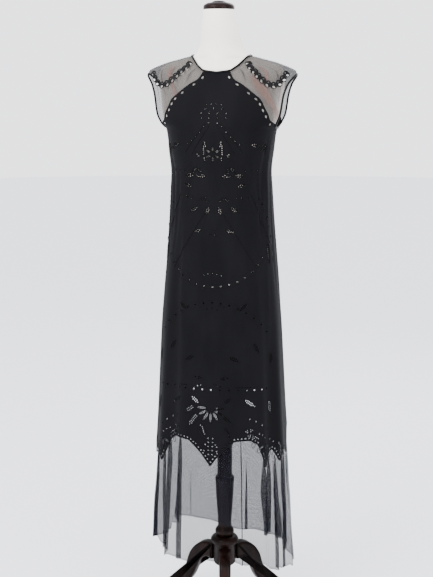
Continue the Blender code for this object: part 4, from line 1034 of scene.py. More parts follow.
def sheer_finish(name, colour, cell, open_alpha, thread_alpha, fold_light_colour=None):
    """Sheer black mesh: threads on two diagonals, see-through between them, denser at hems and gathers, with
    a painted warm light colour in the gathers when a fold colour is given.
    """
    finish = Finish(name, colour, 0.7, Sheen_Weight=0.0, Specular_IOR_Level=0.02)
    place = finish.cloth_place()
    scale = (1.0 / cell, 1.0 / cell, 1)
    first, second = (finish.wave(finish.scaled(place, scale, math.radians(lean)), THREAD_WAVE)
                     for lean in (60, -60))
    thread = first.maths("MAXIMUM", second).above(0.80, 0.16)
    alpha = open_alpha + thread * (thread_alpha - open_alpha)
    finish.set("Alpha", alpha + (1 - alpha) * finish.kept_value("dense") * 0.62)
    if fold_light_colour:
        # Painted light: the gathers are tinted a warm light brown, which stands for the cream form's light
        # seen through the doubled mesh.
        finish.set("Base Color", finish.mixed(finish.kept_value("warm"), colour, fold_light_colour))
    return finish.material


def cord_finish(colour):
    """Black embroidery thread, laid side by side."""
    finish = Finish("embroidery_thread", colour, 0.42, Sheen_Weight=0.005, Specular_IOR_Level=0.08)
    strands = finish.noise(finish.object_place(), 900.0, detail=1.0, stretch=(1.0, 1.0, 0.4))
    finish.set("Roughness", 0.34 + strands * 0.2)
    finish.bump(strands, strength=0.4, distance=0.0003)
    return finish.material


def jersey_finish(colour):
    """Cream jersey with a fine knit."""
    finish = Finish("cream_jersey", colour, 0.82, Sheen_Weight=0.12)
    place = finish.cloth_place()
    knit = finish.wave(place, KNIT_RATES[0]) * finish.wave(place, KNIT_RATES[1], "Y", distortion=0.6)
    tone = finish.noise(place, 9.0, detail=2.0)
    finish.set("Base Color", finish.mixed(tone.above(0.5, 0.3), colour, [c * 0.965 for c in colour]))
    finish.bump(knit, strength=0.22, distance=0.0003)
    return finish.material


def walnut_finish(colour, light):
    """Dark turned wood under a clear polish, with grain along the height."""
    finish = Finish("dark_walnut", colour, 0.34, Coat_Weight=0.03, Coat_Roughness=0.16,
                    Specular_IOR_Level=0.06)
    place = finish.object_place()
    grain = finish.noise(place, 60.0, detail=6.0, stretch=(1.0, 1.0, 0.06))
    pores = finish.noise(place, 500.0, detail=2.0, stretch=(1.0, 1.0, 0.05))
    finish.set("Base Color", finish.mixed(grain.above(0.52, 0.12), colour, light))
    finish.set("Roughness", 0.24 + grain * 0.16)
    finish.bump(grain * 0.6 + pores * 0.4, strength=0.12, distance=0.0006)
    return finish.material


def tree_of(name, inputs, build):
    """Geometry node tree with named lengths; build wires it and gives the socket of its geometry."""
    tree = bpy.data.node_groups.new(name, "GeometryNodeTree")
    tree.interface.new_socket("Geometry", in_out="INPUT", socket_type="NodeSocketGeometry")
    for label in inputs:
        tree.interface.new_socket(label, in_out="INPUT", socket_type="NodeSocketFloat")
    tree.interface.new_socket("Material", in_out="INPUT", socket_type="NodeSocketMaterial")
    tree.interface.new_socket("Geometry", in_out="OUTPUT", socket_type="NodeSocketGeometry")
    source = tree.nodes.new("NodeGroupInput")

    def add(kind, values, **settings):
        node = tree.nodes.new(kind)
        for key, value in settings.items():
            setattr(node, key, value)
        for key, value in values.items():
            if isinstance(value, bpy.types.NodeSocket):
                tree.links.new(value, node.inputs[key])
            else:
                node.inputs[key].default_value = value
        return node

    shape = build(add, source.outputs)
    whole = add("GeometryNodeRealizeInstances", {"Geometry": shape})
    smooth = add("GeometryNodeSetShadeSmooth", {"Geometry": whole.outputs[0]})
    painted = add("GeometryNodeSetMaterial", {
        "Geometry": smooth.outputs[0], "Material": source.outputs["Material"]})
    sink = tree.nodes.new("NodeGroupOutput")
    tree.links.new(painted.outputs[0], sink.inputs[0])
    return tree


def wire_cord(add, given):
    """A round cord along every line of the mesh."""
    line = add("GeometryNodeMeshToCurve", {"Mesh": given["Geometry"]})
    ring = add("GeometryNodeCurvePrimitiveCircle", {"Resolution": THREAD_SIDES, "Radius": given["Radius"]})
    tube = add("GeometryNodeCurveToMesh", {
        "Curve": line.outputs[0], "Profile Curve": ring.outputs[0], "Fill Caps": True})
    return tube.outputs[0]


def wire_stitches(add, given):
    """Short stitches at even distances along every line of the mesh."""
    line = add("GeometryNodeMeshToCurve", {"Mesh": given["Geometry"]})
    even = add("GeometryNodeResampleCurve", {
        "Curve": line.outputs[0], "Length": given["Spacing"]}, mode="LENGTH")
    thread = add("GeometryNodeMeshUVSphere", {
        "Segments": THREAD_SIDES, "Rings": THREAD_SIDES - 1, "Radius": given["Radius"]})
    drawn = add("GeometryNodeTransform", {"Geometry": thread.outputs[0], "Scale": (1.0, 1.0, STITCH_STRETCH)})
    way = add("GeometryNodeInputTangent", {})
    turn = add("FunctionNodeAlignRotationToVector", {"Vector": way.outputs[0]}, axis="Z")
    laid = add("GeometryNodeInstanceOnPoints", {
        "Points": even.outputs[0], "Instance": drawn.outputs[0], "Rotation": turn.outputs[0]})
    return laid.outputs[0]


def drawn_lines(lines, tree, values):
    """Plain mesh of what a node tree makes along lines, each given as points and whether it closes."""
    verts = []
    edges = []
    for points, closed in lines:
        start = len(verts)
        verts += np.asarray(points).tolist()
        edges += [(i, i + 1) for i in range(start, len(verts) - 1)]
        if closed:
            edges.append((len(verts) - 1, start))
    guide = bpy.data.objects.new("lines", bpy.data.meshes.new("lines"))
    guide.data.from_pydata(verts, edges, [])
    bpy.context.scene.collection.objects.link(guide)
    modifier = guide.modifiers.new("Lines", "NODES")
    modifier.node_group = tree
    for item in tree.interface.items_tree:
        if item.in_out == "INPUT" and item.name in values:
            modifier[item.identifier] = values[item.name]
    depsgraph = bpy.context.evaluated_depsgraph_get()
    mesh = bpy.data.meshes.new_from_object(guide.evaluated_get(depsgraph))
    bpy.data.objects.remove(guide)
    return mesh


def colour_property(label, text, value):
    return bpy.props.FloatVectorProperty(
        name=label, description=text, subtype="COLOR", default=value, min=0, max=1)


def length_property(label, text, value):
    return bpy.props.FloatProperty(name=label, description=text, default=value, unit="LENGTH", precision=4)


def cover_property(label, text, value):
    return bpy.props.FloatVectorProperty(name=label, description=text, size=2, default=value)


def angle_property(label, text, value):
    return bpy.props.FloatProperty(name=label, description=text, subtype="ANGLE", default=math.radians(value))


class DressClothSettings(bpy.types.PropertyGroup):
    crepe: colour_property("Crepe", "Colour of the cutwork cloth", (0.0021, 0.0020, 0.0027))
    yoke: colour_property("Yoke Mesh", "Colour of the sheer yoke", (0.008, 0.007, 0.008))
    # Painted light: the warm light brown painted into the yoke where it lies double.
    painted_gather_light: colour_property("Yoke Gathers", "Colour of the yoke where it lies double", (0.078, 0.046, 0.039))
    net: colour_property("Net", "Colour of the net skirt", (0.006, 0.006, 0.009))
    thread: colour_property("Thread", "Colour of the embroidery", (0.0020, 0.0020, 0.0025))
    yoke_alpha: cover_property("Yoke Cover", "Cover of the yoke between and on its threads", (0.52, 0.84))
    net_alpha: cover_property("Net Cover", "Cover of the net between and on its threads", (0.44, 0.81))
    body_cell: length_property("Body Cell", "Spacing of the mesh of the body", 0.0068)
    yoke_cell: length_property("Yoke Cell", "Spacing of the mesh of the yoke", 0.0025)
    net_cell: length_property("Net Cell", "Spacing of the net's rows", 0.012)
    rim_radius: length_property("Rim", "Radius of the corded rims of the eyelets", 0.0007)


class DressStandSettings(bpy.types.PropertyGroup):
    jersey: colour_property("Jersey", "Colour of the dress form", (0.94, 0.87, 0.79))
    wood: colour_property("Wood", "Colour of the stand", (0.0040, 0.0018, 0.0015))
    wood_light: colour_property("Wood Grain", "Colour of the stand's lighter grain", (0.0100, 0.0042, 0.0032))
    sides: bpy.props.IntProperty(name="Sides", description="Sides of the turned pieces", default=72)


class DressStageSettings(bpy.types.PropertyGroup):
    floor: colour_property("Floor", "Colour of the floor", (0.86, 0.87, 0.90))
    backdrop: colour_property("Backdrop", "Colour of the surroundings", (0.90, 0.91, 0.95))
    azimuth: angle_property("Azimuth", "Turn of the camera to the wearer's left", 11.5)
    pitch: angle_property("Pitch", "Downward tilt of the camera", 11.33)
    strength: bpy.props.FloatProperty(
        name="Light", description="Strength of the surrounding light", default=2.9)
    distance: length_property("Distance", "Distance of the camera from the figure's axis", 3.3)
    height: length_property("Height", "Height of the camera", 1.70)


FINISHES = {}


def finish_named(name):
    """A finish that is made once and then shared."""
    if name not in FINISHES:
        cloth = bpy.context.scene.dress_cloth
        stand = bpy.context.scene.dress_stand
        makers = {
            "crepe": lambda: crepe_finish(cloth.crepe),
            "yoke": lambda: sheer_finish(
                "yoke_mesh", cloth.yoke, YOKE_MESH_CELL, *cloth.yoke_alpha, cloth.painted_gather_light),
            "net": lambda: sheer_finish("skirt_net", cloth.net, SKIRT_NET_CELL, *cloth.net_alpha),
            "thread": lambda: cord_finish(cloth.thread),
            "jersey": lambda: jersey_finish(stand.jersey),
            "wood": lambda: walnut_finish(stand.wood, stand.wood_light),
        }
        FINISHES[name] = makers[name]()
    return FINISHES[name]


TREES = {"corded_lines": (("Radius",), wire_cord), "stitch_rows": (("Radius", "Spacing"), wire_stitches)}


def tree_named(name):
    """A node tree that is made once and then shared."""
    return bpy.data.node_groups.get(name) or tree_of(name, *TREES[name])


def add_lines(name, lines, tree, slot, values):
    """Piece of thread along lines on the figure."""
    mesh = drawn_lines(lines, tree_named(tree), {"Material": finish_named("thread"), **values})
    return piece(name, mesh, "thread", slot)


def add_cords(name, lines, radius, slot="trim"):
    """Piece of embroidered cords along lines on the figure."""
    return add_lines(name, lines, "corded_lines", slot, {"Radius": radius})


def add_stitches(name, lines, spacing, radius):
    """Piece of stitches along lines on the figure."""
    return add_lines(name, lines, "stitch_rows", "trim", {"Radius": radius, "Spacing": spacing})


def lines_on(paths, out, closed=False, creases=()):
    """Lines in space from paths on the cloth, at a distance outside it."""
    return [(moved(cloth_points(path, out, FOLDS, creases)), closed) for path in paths]


def lines_on_body(paths, out, closed=False):
    """Lines on the creased body."""
    return lines_on(paths, out, closed, CREASES)


def side_path(low, high, steps=60):
    """Path up the side seam of the wearer's left."""
    return stacked(QUARTER, np.linspace(low, high, steps + 1))


def armhole_paths(centre):
    """Armhole edge of one half, split where the yoke begins: below it and above it."""
    path = marks_path(ARMHOLE, EDGE_STEPS, centre)
    return path[:ARMHOLE_SPLIT * EDGE_STEPS + 1], path[ARMHOLE_SPLIT * EDGE_STEPS:]


def neck_paths():
    """Front neckline of one half, split where the yoke begins: at the body and at the yoke."""
    path = marks_path(NECK_FRONT, EDGE_STEPS)
    return path[:EDGE_STEPS + 1], path[EDGE_STEPS:]


def body_half(hem, top, centre):
    """Outline of one half of a body panel, from the hem's middle round to its top."""
    below, _ = armhole_paths(centre)
    hem = evenly(marks_path(hem, HEM_STEPS, centre), CLOTH_STEP)
    return joined(hem, side_path(SIDE_HEM, UNDERARM), below, top)


def leaf_lines(cuts):
    """Fine bars across the leaf-shaped cuts: a middle vein and pairs of side veins."""
    paths = []
    for cut, vein in cuts:
        paths.append(vein)
        count = len(cut) // 2
        for i in range(1, count):
            along = vein[min(len(vein) - 1, round(i / count * (len(vein) - 1)))]
            paths += [np.array([along, (along + edge) / 2, edge]) for edge in (cut[i], cut[-i])]
    return lines_on_body(paths, BAR_LIFT)


class DRESS_OT_make_body(bpy.types.Operator):
    """Cut the front and back panels of cutwork cloth, with their embroidery"""
    bl_idname = "dress.make_body"
    bl_label = "Make Body"

    def execute(self, context):
        cloth = context.scene.dress_cloth
        self.make_front(cloth)
        self.make_back(cloth)
        return {"FINISHED"}

    def make_front(self, cloth):
        """Front panel with its eyelets, leaf-shaped cuts, pierced leaves and threads."""
        at_body, _ = neck_paths()
        top = np.concatenate([marks_path(HALTER, EDGE_STEPS)[::-1], at_body[::-1]])
        cuts = spray_cuts(FRONT_SPRAYS)
        large = halter_holes() + run_holes(FRONT_RUNS) + [cut for cut, _ in cuts]
        hem = evenly(marks_path(HEM_FRONT, HEM_STEPS), CLOTH_STEP)
        small = apart(hem_holes(hem) + hem_holes(mirrored(hem)), large, EYELET_WEB)
        small += apart(run_holes(LACE_RUNS), large + small, EYELET_WEB)
        outlines, pinholes = pierced_leaves(PIERCED_LEAVES)
        pinholes = apart(pinholes, large + small, PINHOLE_WEB)
        half = body_half(HEM_FRONT, top, 0.0)
        front = self.panel("front", half, 0.0, large + small + pinholes, cloth.body_cell)

        motifs = [evenly(loop, CLOTH_STEP, closed=True) for loop in outlines]
        beads = [evenly(run_places(run, 0.0, side), CLOTH_STEP)
                 for run in BEAD_RUNS for side in sides_of(run)]
        drop = leaf_points(-QUARTER, 0.0, *HEM_LOOP_SIZE)
        loops = [cut_shape(side * math.radians(angle), level, drop)
                 for angle, level in HEM_LOOPS for side in (1, -1)]
        rim = cloth.rim_radius
        threads = [
            add_cords("eyelet_rims_front", lines_on_body(large + motifs, RIM_LIFT, True), rim),
            add_cords("hem_eyelet_rims", lines_on_body(small, FINE_RIM_LIFT, True), rim * FINE_RIM_SHARE),
            add_cords("leaf_bars_front", leaf_lines(cuts), BAR_RADIUS),
            self.band_stitches("front", FRONT_RUNS, 0.0),
            self.edge_cord("front", HEM_FRONT, HALTER, 0.0),
            add_stitches("beaded_lines", lines_on_body(beads, BEAD_LIFT), BEAD_STITCH, BEAD_RADIUS),
            add_cords("hem_loops", lines_on_body(loops, HEM_LOOP_LIFT, True), HEM_LOOP_RADIUS)]

    def make_back(self, cloth):
        """Back panel, plainer than the front."""
        eyelets = run_holes(BACK_RUNS, math.pi)
        hem = evenly(marks_path(HEM_BACK, HEM_STEPS, math.pi), CLOTH_STEP)[::-1]
        small = apart(hem_holes(hem) + hem_holes(mirrored(hem, math.pi)), eyelets, EYELET_WEB)
        half = body_half(HEM_BACK, marks_path(SCOOP, EDGE_STEPS, math.pi)[::-1], math.pi)
        back = self.panel("back", half, math.pi, eyelets + small, cloth.body_cell)
        threads = [
            add_cords("eyelet_rims_back", lines_on_body(eyelets, RIM_LIFT, True), cloth.rim_radius),
            self.band_stitches("back", BACK_RUNS, math.pi),
            self.edge_cord("back", HEM_BACK, SCOOP, math.pi)]

    def panel(self, part, half, centre, holes, cell):
        """Panel from the outline of its half."""
        mesh = shell(joined(half, mirrored(half, centre)), holes, cell, BODY_WALL, creases=CREASES)
        return piece("cutwork_" + part, mesh, "crepe", "cutwork_cloth", "body_" + part)

    def band_stitches(self, part, runs, centre):
        """Stitched lines on both sides of the long runs of eyelets, and two rows round the waist."""
        paths = []
        for run in runs:
            if run.count >= LONG_RUN_COUNT:
                middle = evenly(run_places(run, centre, 1), BAND_STEP)
                paths += [beside(middle, distance) for distance in (-BAND_HALF_WIDTH, BAND_HALF_WIDTH)]
        turns = np.radians(np.linspace(-STITCHED_REACH, STITCHED_REACH, 90)) + centre
        paths += [stacked(turns, level) for level in STITCHED_LEVELS]
        lines = lines_on_body(paths, RIM_LIFT)
        return add_stitches("band_stitches_" + part, lines, BAND_STITCH, BAND_STITCH_RADIUS)

    def edge_cord(self, part, hem, top, centre):
        """Cord along the hem and the top edge of a panel on both sides, in small scallops."""
        paths = []
        for marks in (hem, top):
            path = evenly(marks_path(marks, HEM_STEPS, centre), SCALLOP_STEP)
            waves = np.abs(np.sin(np.arange(len(path)) * math.pi / 4))
            path = beside(path, -SCALLOP_DEPTH * waves)
            paths += [path, mirrored(path, centre)]
        return add_cords("edge_cord_" + part, lines_on_body(paths, EDGE_CORD_LIFT), EDGE_CORD_RADIUS)


def crease_cover(creases, places):
    """The strongest share of any crease at places on the cloth, from 0 to 1."""
    return np.max([crease_share(crease, *places.T) for crease in creases], axis=0)


def mark_points(mesh, name, values):
    """Values kept on the points of a mesh, which the sheer cloth reads."""
    layer = mesh.attributes.new(name, "FLOAT", "POINT")
    layer.data.foreach_set("value", np.asarray(values, np.float32))


def places_of(mesh):
    """Places on the cloth of a mesh's points, from its UV map."""
    uv = np.zeros(len(mesh.loops) * 2, np.float32)
    mesh.uv_layers["cloth"].data.foreach_get("uv", uv)
    places = np.zeros((len(mesh.vertices), 2))
    places[loop_points(mesh)] = uv.reshape(-1, 2)
    return places / PATTERN


class DRESS_OT_make_yoke(bpy.types.Operator):
    """Cut the four pieces of sheer mesh above the body, with their stitched seams"""
    bl_idname = "dress.make_yoke"
    bl_label = "Make Yoke"

    def execute(self, context):
        cell = context.scene.dress_cloth.yoke_cell
        seam = side_path(SHOULDER_EDGE, NECK_SIDE, 24)
        slit = stacked(math.pi, np.linspace(NAPE, SCOOP_MIDDLE, 19))
        _, at_yoke = neck_paths()
        front = joined(marks_path(HALTER, EDGE_STEPS), armhole_paths(0.0)[1], seam, at_yoke[::-1])
        back = joined(marks_path(SCOOP, EDGE_STEPS, math.pi), armhole_paths(math.pi)[1], seam,
                      marks_path(NECK_BACK, EDGE_STEPS, math.pi)[::-1], slit)
        for part, path, centre, flat, area in (
                ("front", front, 0.0, (0.21, 0.22), 0.0215), ("back", back, math.pi, (0.24, 0.21), 0.0350)):
            for side, outline in (("left", path), ("right", mirrored(path, centre))):
                drops = trim_pattern(side)[1][1::2] if part == "front" else []
                mesh = shell(outline, drops, cell, 0, lift=-MESH_WALL / 2, creases=GATHERS + PUCKERS)
                folds = crease_cover(GATHERS, places_of(mesh))
                puckers = crease_cover(PUCKERS, places_of(mesh))
                # How strongly the painted warm light shows in each gather.
                mark_points(mesh, "warm", np.clip(folds * PAINTED_LIGHT_GAIN, 0, 1))
                cover = np.clip(folds * DENSE_GAIN, 0, 1) * DENSE_MOST
                mark_points(mesh, "dense", np.maximum(cover, puckers))
                place = part + "_" + side
                thing = piece("mesh_" + place, mesh, "yoke", "yoke_mesh", "yoke_" + place)
        shoulder = side_path(SHOULDER_EDGE + 0.003, NECK_SIDE - 0.002, 24)
        seams = [beside(line, distance) for line in (shoulder, mirrored(shoulder))
                 for distance in (-YOKE_SEAM_HALF, YOKE_SEAM_HALF)]
        seams += [slit + np.array((turn, 0.0)) for turn in (YOKE_SLIT_TURN, -YOKE_SLIT_TURN)]
        add_stitches("yoke_seam_stitches", lines_on(seams, YOKE_STITCH_LIFT), YOKE_STITCH, YOKE_STITCH_RADIUS)
        return {"FINISHED"}


def lobed_band(path):
    """Outline and leaf-shaped holes of the openwork trim along a path."""
    even = evenly(path, LOBE_PATH_STEP)
    aside, along = side_ways(even)
    total = APPLIQUE_LOBES * APPLIQUE_LOBE_STEPS
    at = np.round(np.linspace(0, len(even) - 1, total + 1)).astype(int)
    phase = (np.arange(total + 1) % APPLIQUE_LOBE_STEPS) / APPLIQUE_LOBE_STEPS
    swell = APPLIQUE_WAIST + (1 - APPLIQUE_WAIST) * np.sin(math.pi * phase) ** 0.7
    half = APPLIQUE_HALF_WIDTH * swell
    left = shifted(even[at], aside[at] * half[:, None])
    right = shifted(even[at], aside[at] * -half[:, None])
    holes = []
    for lobe in range(APPLIQUE_LOBES):
        k = at[lobe * APPLIQUE_LOBE_STEPS + APPLIQUE_LOBE_STEPS // 2]
        for side in (1, -1):
            length, width = INNER_DROP if side > 0 else OUTER_DROP
            spots = leaf_points(side * DROP_LEAN, -length / 2, length, width, 5)
            ways = along[k] * spots[:, :1] + aside[k] * (spots[:, 1:] + side * DROP_INSET)
            holes.append(shifted(np.repeat(even[k:k + 1], len(spots), 0), ways))
    return facing_out(joined(left, right[::-1])), holes


def trim_pattern(side):
    """Outline and holes of the leaf trim of one side."""
    outline, holes = lobed_band(marks_path(APPLIQUE_PATH, TRIM_STEPS))
    if side == "right":
        return mirrored(outline), [mirrored(hole) for hole in holes]
    return outline, holes


class DRESS_OT_make_applique(bpy.types.Operator):
    """Cut the two openwork leaf trims that lie on the front mesh, with corded rims"""
    bl_idname = "dress.make_applique"
    bl_label = "Make Applique"

    def execute(self, context):
        for side in ("left", "right"):
            outline, holes = trim_pattern(side)
            mesh = shell(outline, holes, TRIM_CELL, APPLIQUE_WALL, lift=APPLIQUE_LIFT, seam=0.0)
            thing = piece("leaf_trim_" + side, mesh, "thread", "trim", "applique_" + side)
            rims = lines_on([outline, *holes], APPLIQUE_LIFT - 0.0001, True)
            cords = add_cords("leaf_trim_cords_" + side, rims, TRIM_CORD_RADIUS)
        return {"FINISHED"}


def band_mesh(path, closed):
    """Rounded binding swept along a path on the cloth."""
    aside, along = side_ways(path, closed)
    normal = unit(np.cross(along, aside))
    centre = cloth_points(path) + normal * BINDING_SEAT
    half_width = BINDING_WIDTH / 2
    turns = round_turns(BINDING_SIDES)
    across = np.sign(np.cos(turns)) * np.abs(np.cos(turns)) ** 0.7 * half_width
    up = np.sign(np.sin(turns)) * np.abs(np.sin(turns)) ** 0.7 * BINDING_HALF_HEIGHT
    rings = centre[:, None] + aside[:, None] * across[None, :, None] + normal[:, None] * up[None, :, None]
    run = np.concatenate([[0], np.cumsum(np.linalg.norm(np.diff(centre, axis=0), axis=1))])
    places = stacked(np.repeat(run, BINDING_SIDES), np.tile(turns * half_width, len(path)))
    faces = tube_faces(len(path), BINDING_SIDES, closed)
    return new_mesh(moved(rings.reshape(-1, 3)), faces, places, sharp=70.0)


class DRESS_OT_make_bindings(bpy.types.Operator):
    """Sew the narrow bindings of the neckline and the armholes, and the button at the nape"""
    bl_idname = "dress.make_bindings"
    bl_label = "Make Bindings"

    def execute(self, context):
        half = joined(marks_path(NECK_FRONT, EDGE_STEPS), marks_path(NECK_BACK, EDGE_STEPS, math.pi)[::-1])
        half[-1, 0] -= SEAM / NECK_RADIUS
        edge = evenly(np.concatenate([half[::-1] * np.array((-1, 1)), half[1:]]), BINDING_STEP)
        rows = self.binding("neck_band", "neck_binding", edge, False, (0.46, 0.0125), 0.0047)
        ring = facing_out(joined(*armhole_paths(0.0), joined(*armhole_paths(math.pi))[::-1]))
        for side, path in (("left", ring), ("right", mirrored(ring))):
            edge = evenly(path, BINDING_STEP, closed=True)
            rows += self.binding("armhole_band_" + side, "armhole_binding_" + side, edge, True,
                                 (0.42, 0.0125), 0.0040)
        add_stitches("binding_stitches", rows, BINDING_STITCH, BINDING_STITCH_RADIUS)
        self.make_button()
        return {"FINISHED"}

    def binding(self, name, node, edge, closed, flat, area):
        """Binding inside an edge; gives the lines of its two rows of stitches."""
        mesh = band_mesh(beside(edge, BINDING_WIDTH / 2, closed), closed)
        band = piece(name, mesh, "thread", "trim", node)
        rows = [beside(edge, distance, closed) for distance in BINDING_STITCHES]
        return lines_on(rows, BINDING_STITCH_LIFT, closed)

    def make_button(self):
        """Domed covered button with a rolled rim, stood on the binding's middle at the nape."""
        nape = [(math.pi, NAPE + BINDING_WIDTH / 2)]
        place = cloth_points(nape, BINDING_PROUD + SEAM)[0]
        outward = Vector(unit(cloth_points(nape, 0.02)[0] - place))
        turn = outward.to_track_quat("Z", "Y")
        verts, faces = lathe(BUTTON_PROFILE, BUTTON_SIDES)
        mesh = new_mesh([turn @ Vector(v) + Vector(moved(place)) for v in verts], faces, sharp=60.0)
        low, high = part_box("back_button")
        found = sum((v.co for v in mesh.vertices), Vector()) / len(mesh.vertices)
        if (found - (low + high) / 2).length > BUTTON_ERROR:
            raise RuntimeError("the button is not where its solid is")
        piece("nape_button", mesh, "crepe", "trim", "back_button")


def net_top(angle):
    """Level of the net's sewn top edge."""
    back = np.maximum(0.0, -np.cos(angle))
    return NET_TOP_FRONT + (NET_TOP_BACK - NET_TOP_FRONT) * back * back


def net_sink(angle, level):
    """How far the net falls away inside the body below its sewn top edge."""
    t = np.clip((net_top(angle) - level) / NET_SINK_SPAN, 0, 1)
    return NET_TUCK * t * (2 - t)


def pleated(angle, level):
    """Angles and outward moves of the net where its pleats fold over themselves."""
    shift = np.zeros_like(angle)
    out = np.zeros_like(angle)
    formed = eased((PLEAT_TOP - level) / (PLEAT_TOP - PLEAT_FULL))
    for pleat in PLEATS:
        half = math.radians(pleat.half_width)
        u = wrapped(angle - math.radians(pleat.angle)) / half
        wave = np.where(np.abs(u) < 1, np.sin(np.clip(u, -1, 1) * math.pi), 0.0) * formed
        shift -= half * pleat.lap * wave
        out -= PLEAT_DEPTH * wave
    return angle + shift, out


class DRESS_OT_make_net(bpy.types.Operator):
    """Hang the two halves of the net skirt, with pleats that lap over and a fine hem"""
    bl_idname = "dress.make_net"
    bl_label = "Make Net"

    def execute(self, context):
        cell = context.scene.dress_cloth.net_cell
        hems = []
        for part, centre, flat, area in (
                ("front", 0.0, (0.90, 0.50), 0.300), ("back", math.pi, (0.96, 0.74), 0.530)):
            angles = self.columns(centre)
            tops = net_top(angles)
            low = NET_HEM_LEVEL(np.degrees(wrapped(angles + 1e-9)))
            rows = int((tops.max() - low.min()) / cell) + 1
            t = np.linspace(0, 1, rows)[:, None]
            level = (tops * (1 - t) + low * t).ravel()
            angle = np.tile(angles, rows)
            shown, out = pleated(angle, level)
            inward = net_sink(angle, level) + BODY_WALL + NET_SEAT
            verts = cloth_points(stacked(shown, level), out - inward, FOLDS + FLUTES)
            count = len(angles)
            faces = [(r * count + i, (r + 1) * count + i, (r + 1) * count + i + 1, r * count + i + 1)
                     for r in range(rows - 1) for i in range(count - 1)]
            mesh = new_mesh(moved(verts), faces, stacked(angle * SPREAD * NET_FULLNESS, level), sharp=0)
            rise = level - np.tile(low, rows)
            mark_points(mesh, "dense", np.clip(1.0 - rise / NET_HEM_BAND, 0, 1) * NET_HEM_COVER)
            thing = piece("net_skirt_" + part, mesh, "net", "skirt_net", "net_" + part)
            hems.append((moved(verts[(rows - 1) * count::2]), False))
        add_cords("net_hem_thread", hems, HEM_THREAD_RADIUS, "skirt_net")
        return {"FINISHED"}

    def columns(self, centre):
        """Angles of the net's columns, closer together in its pleats."""
        fine = [np.linspace(centre - QUARTER, centre + QUARTER, NET_COLUMNS)]
        for pleat in PLEATS:
            middle = centre + wrapped(math.radians(pleat.angle) - centre)
            if abs(middle - centre) < QUARTER:
                half = math.radians(pleat.half_width)
                fine.append(np.linspace(middle - half, middle + half, PLEAT_COLUMNS))
        angles = np.unique(np.round(np.concatenate(fine), 4))
        angles = angles[(angles >= centre - QUARTER) & (angles <= centre + QUARTER)]
        angles[0], angles[-1] = centre - QUARTER, centre + QUARTER
        return angles[np.concatenate([[True], np.diff(angles) > NET_COLUMN_GAP])]


class DRESS_OT_make_form(bpy.types.Operator):
    """Shape the jersey-covered form"""
    bl_idname = "dress.make_form"
    bl_label = "Make Form"

    def execute(self, context):
        angle = round_turns(FORM_SIDES)
        rings = []
        for level in FORM_LEVELS:
            depth = EASE_DEPTH(level) * np.where(np.cos(angle) > 0, FRONT_EASE_SHARE, 1.0)
            ring = section_points(angle, np.full(FORM_SIDES, level), EASE_SIDE(level), depth)
            ring[:, 2] -= EASE_DROP(level)
            rings.append(ring)
        rings += [self.neck_ring(angle, height, 1.0)
                  for height in np.linspace(NECK_RINGS[0].height, NECK_TOP - 0.003, 14)]
        rings += [self.neck_ring(angle, NECK_TOP - 0.001, 0.985), self.neck_ring(angle, NECK_TOP, 0.95)]
        verts = np.concatenate(rings)
        places = stacked(np.tile(angle * SPREAD, len(rings)), verts[:, 2])
        mesh = new_mesh(moved(verts), tube_faces(len(rings), FORM_SIDES), places)
        piece("form_jersey", mesh, "jersey", "jersey", "torso")
        return {"FINISHED"}

    def neck_ring(self, angle, height, share):
        """Ring of the leaning neck at a height."""
        half_width, centre, front, back = (
            Curve(NECK_RINGS, "height", name)(height) for name in ("half_width", "centre", "front", "back"))
        depth = np.where(np.cos(angle) > 0, front, back) * share
        return stacked(half_width * share * np.sin(angle), centre - depth * np.cos(angle), height)


def softened(profile, cut=0.0009):
    """Profile with its corners eased, apart from its ends."""
    points = [np.array(point) for point in profile]
    result = [points[0]]
    for before, here, after in zip(points, points[1:], points[2:]):
        for other in (before, after):
            way = other - here
            length = np.linalg.norm(way)
            result.append(here + way / length * min(cut, 0.3 * length))
    return [tuple(point) for point in result + [points[-1]]]


def lathe(profile, sides):
    """Points and faces of a profile turned round the z axis, closed at its axis."""
    verts = []
    rings = []
    for radius, height in profile:
        if radius < 1e-6:
            rings.append([len(verts)])
            verts.append((0.0, 0.0, height))
        else:
            rings.append(list(range(len(verts), len(verts) + sides)))
            verts += [(radius * math.cos(t), radius * math.sin(t), height) for t in round_turns(sides)]
    faces = []
    for upper, lower in zip(rings, rings[1:]):
        for i in range(sides):
            j = (i + 1) % sides
            if len(upper) == 1:
                faces.append((upper[0], lower[i], lower[j]))
            elif len(lower) == 1:
                faces.append((upper[i], lower[0], upper[j]))
            else:
                faces.append((upper[i], lower[i], lower[j], upper[j]))
    return verts, faces


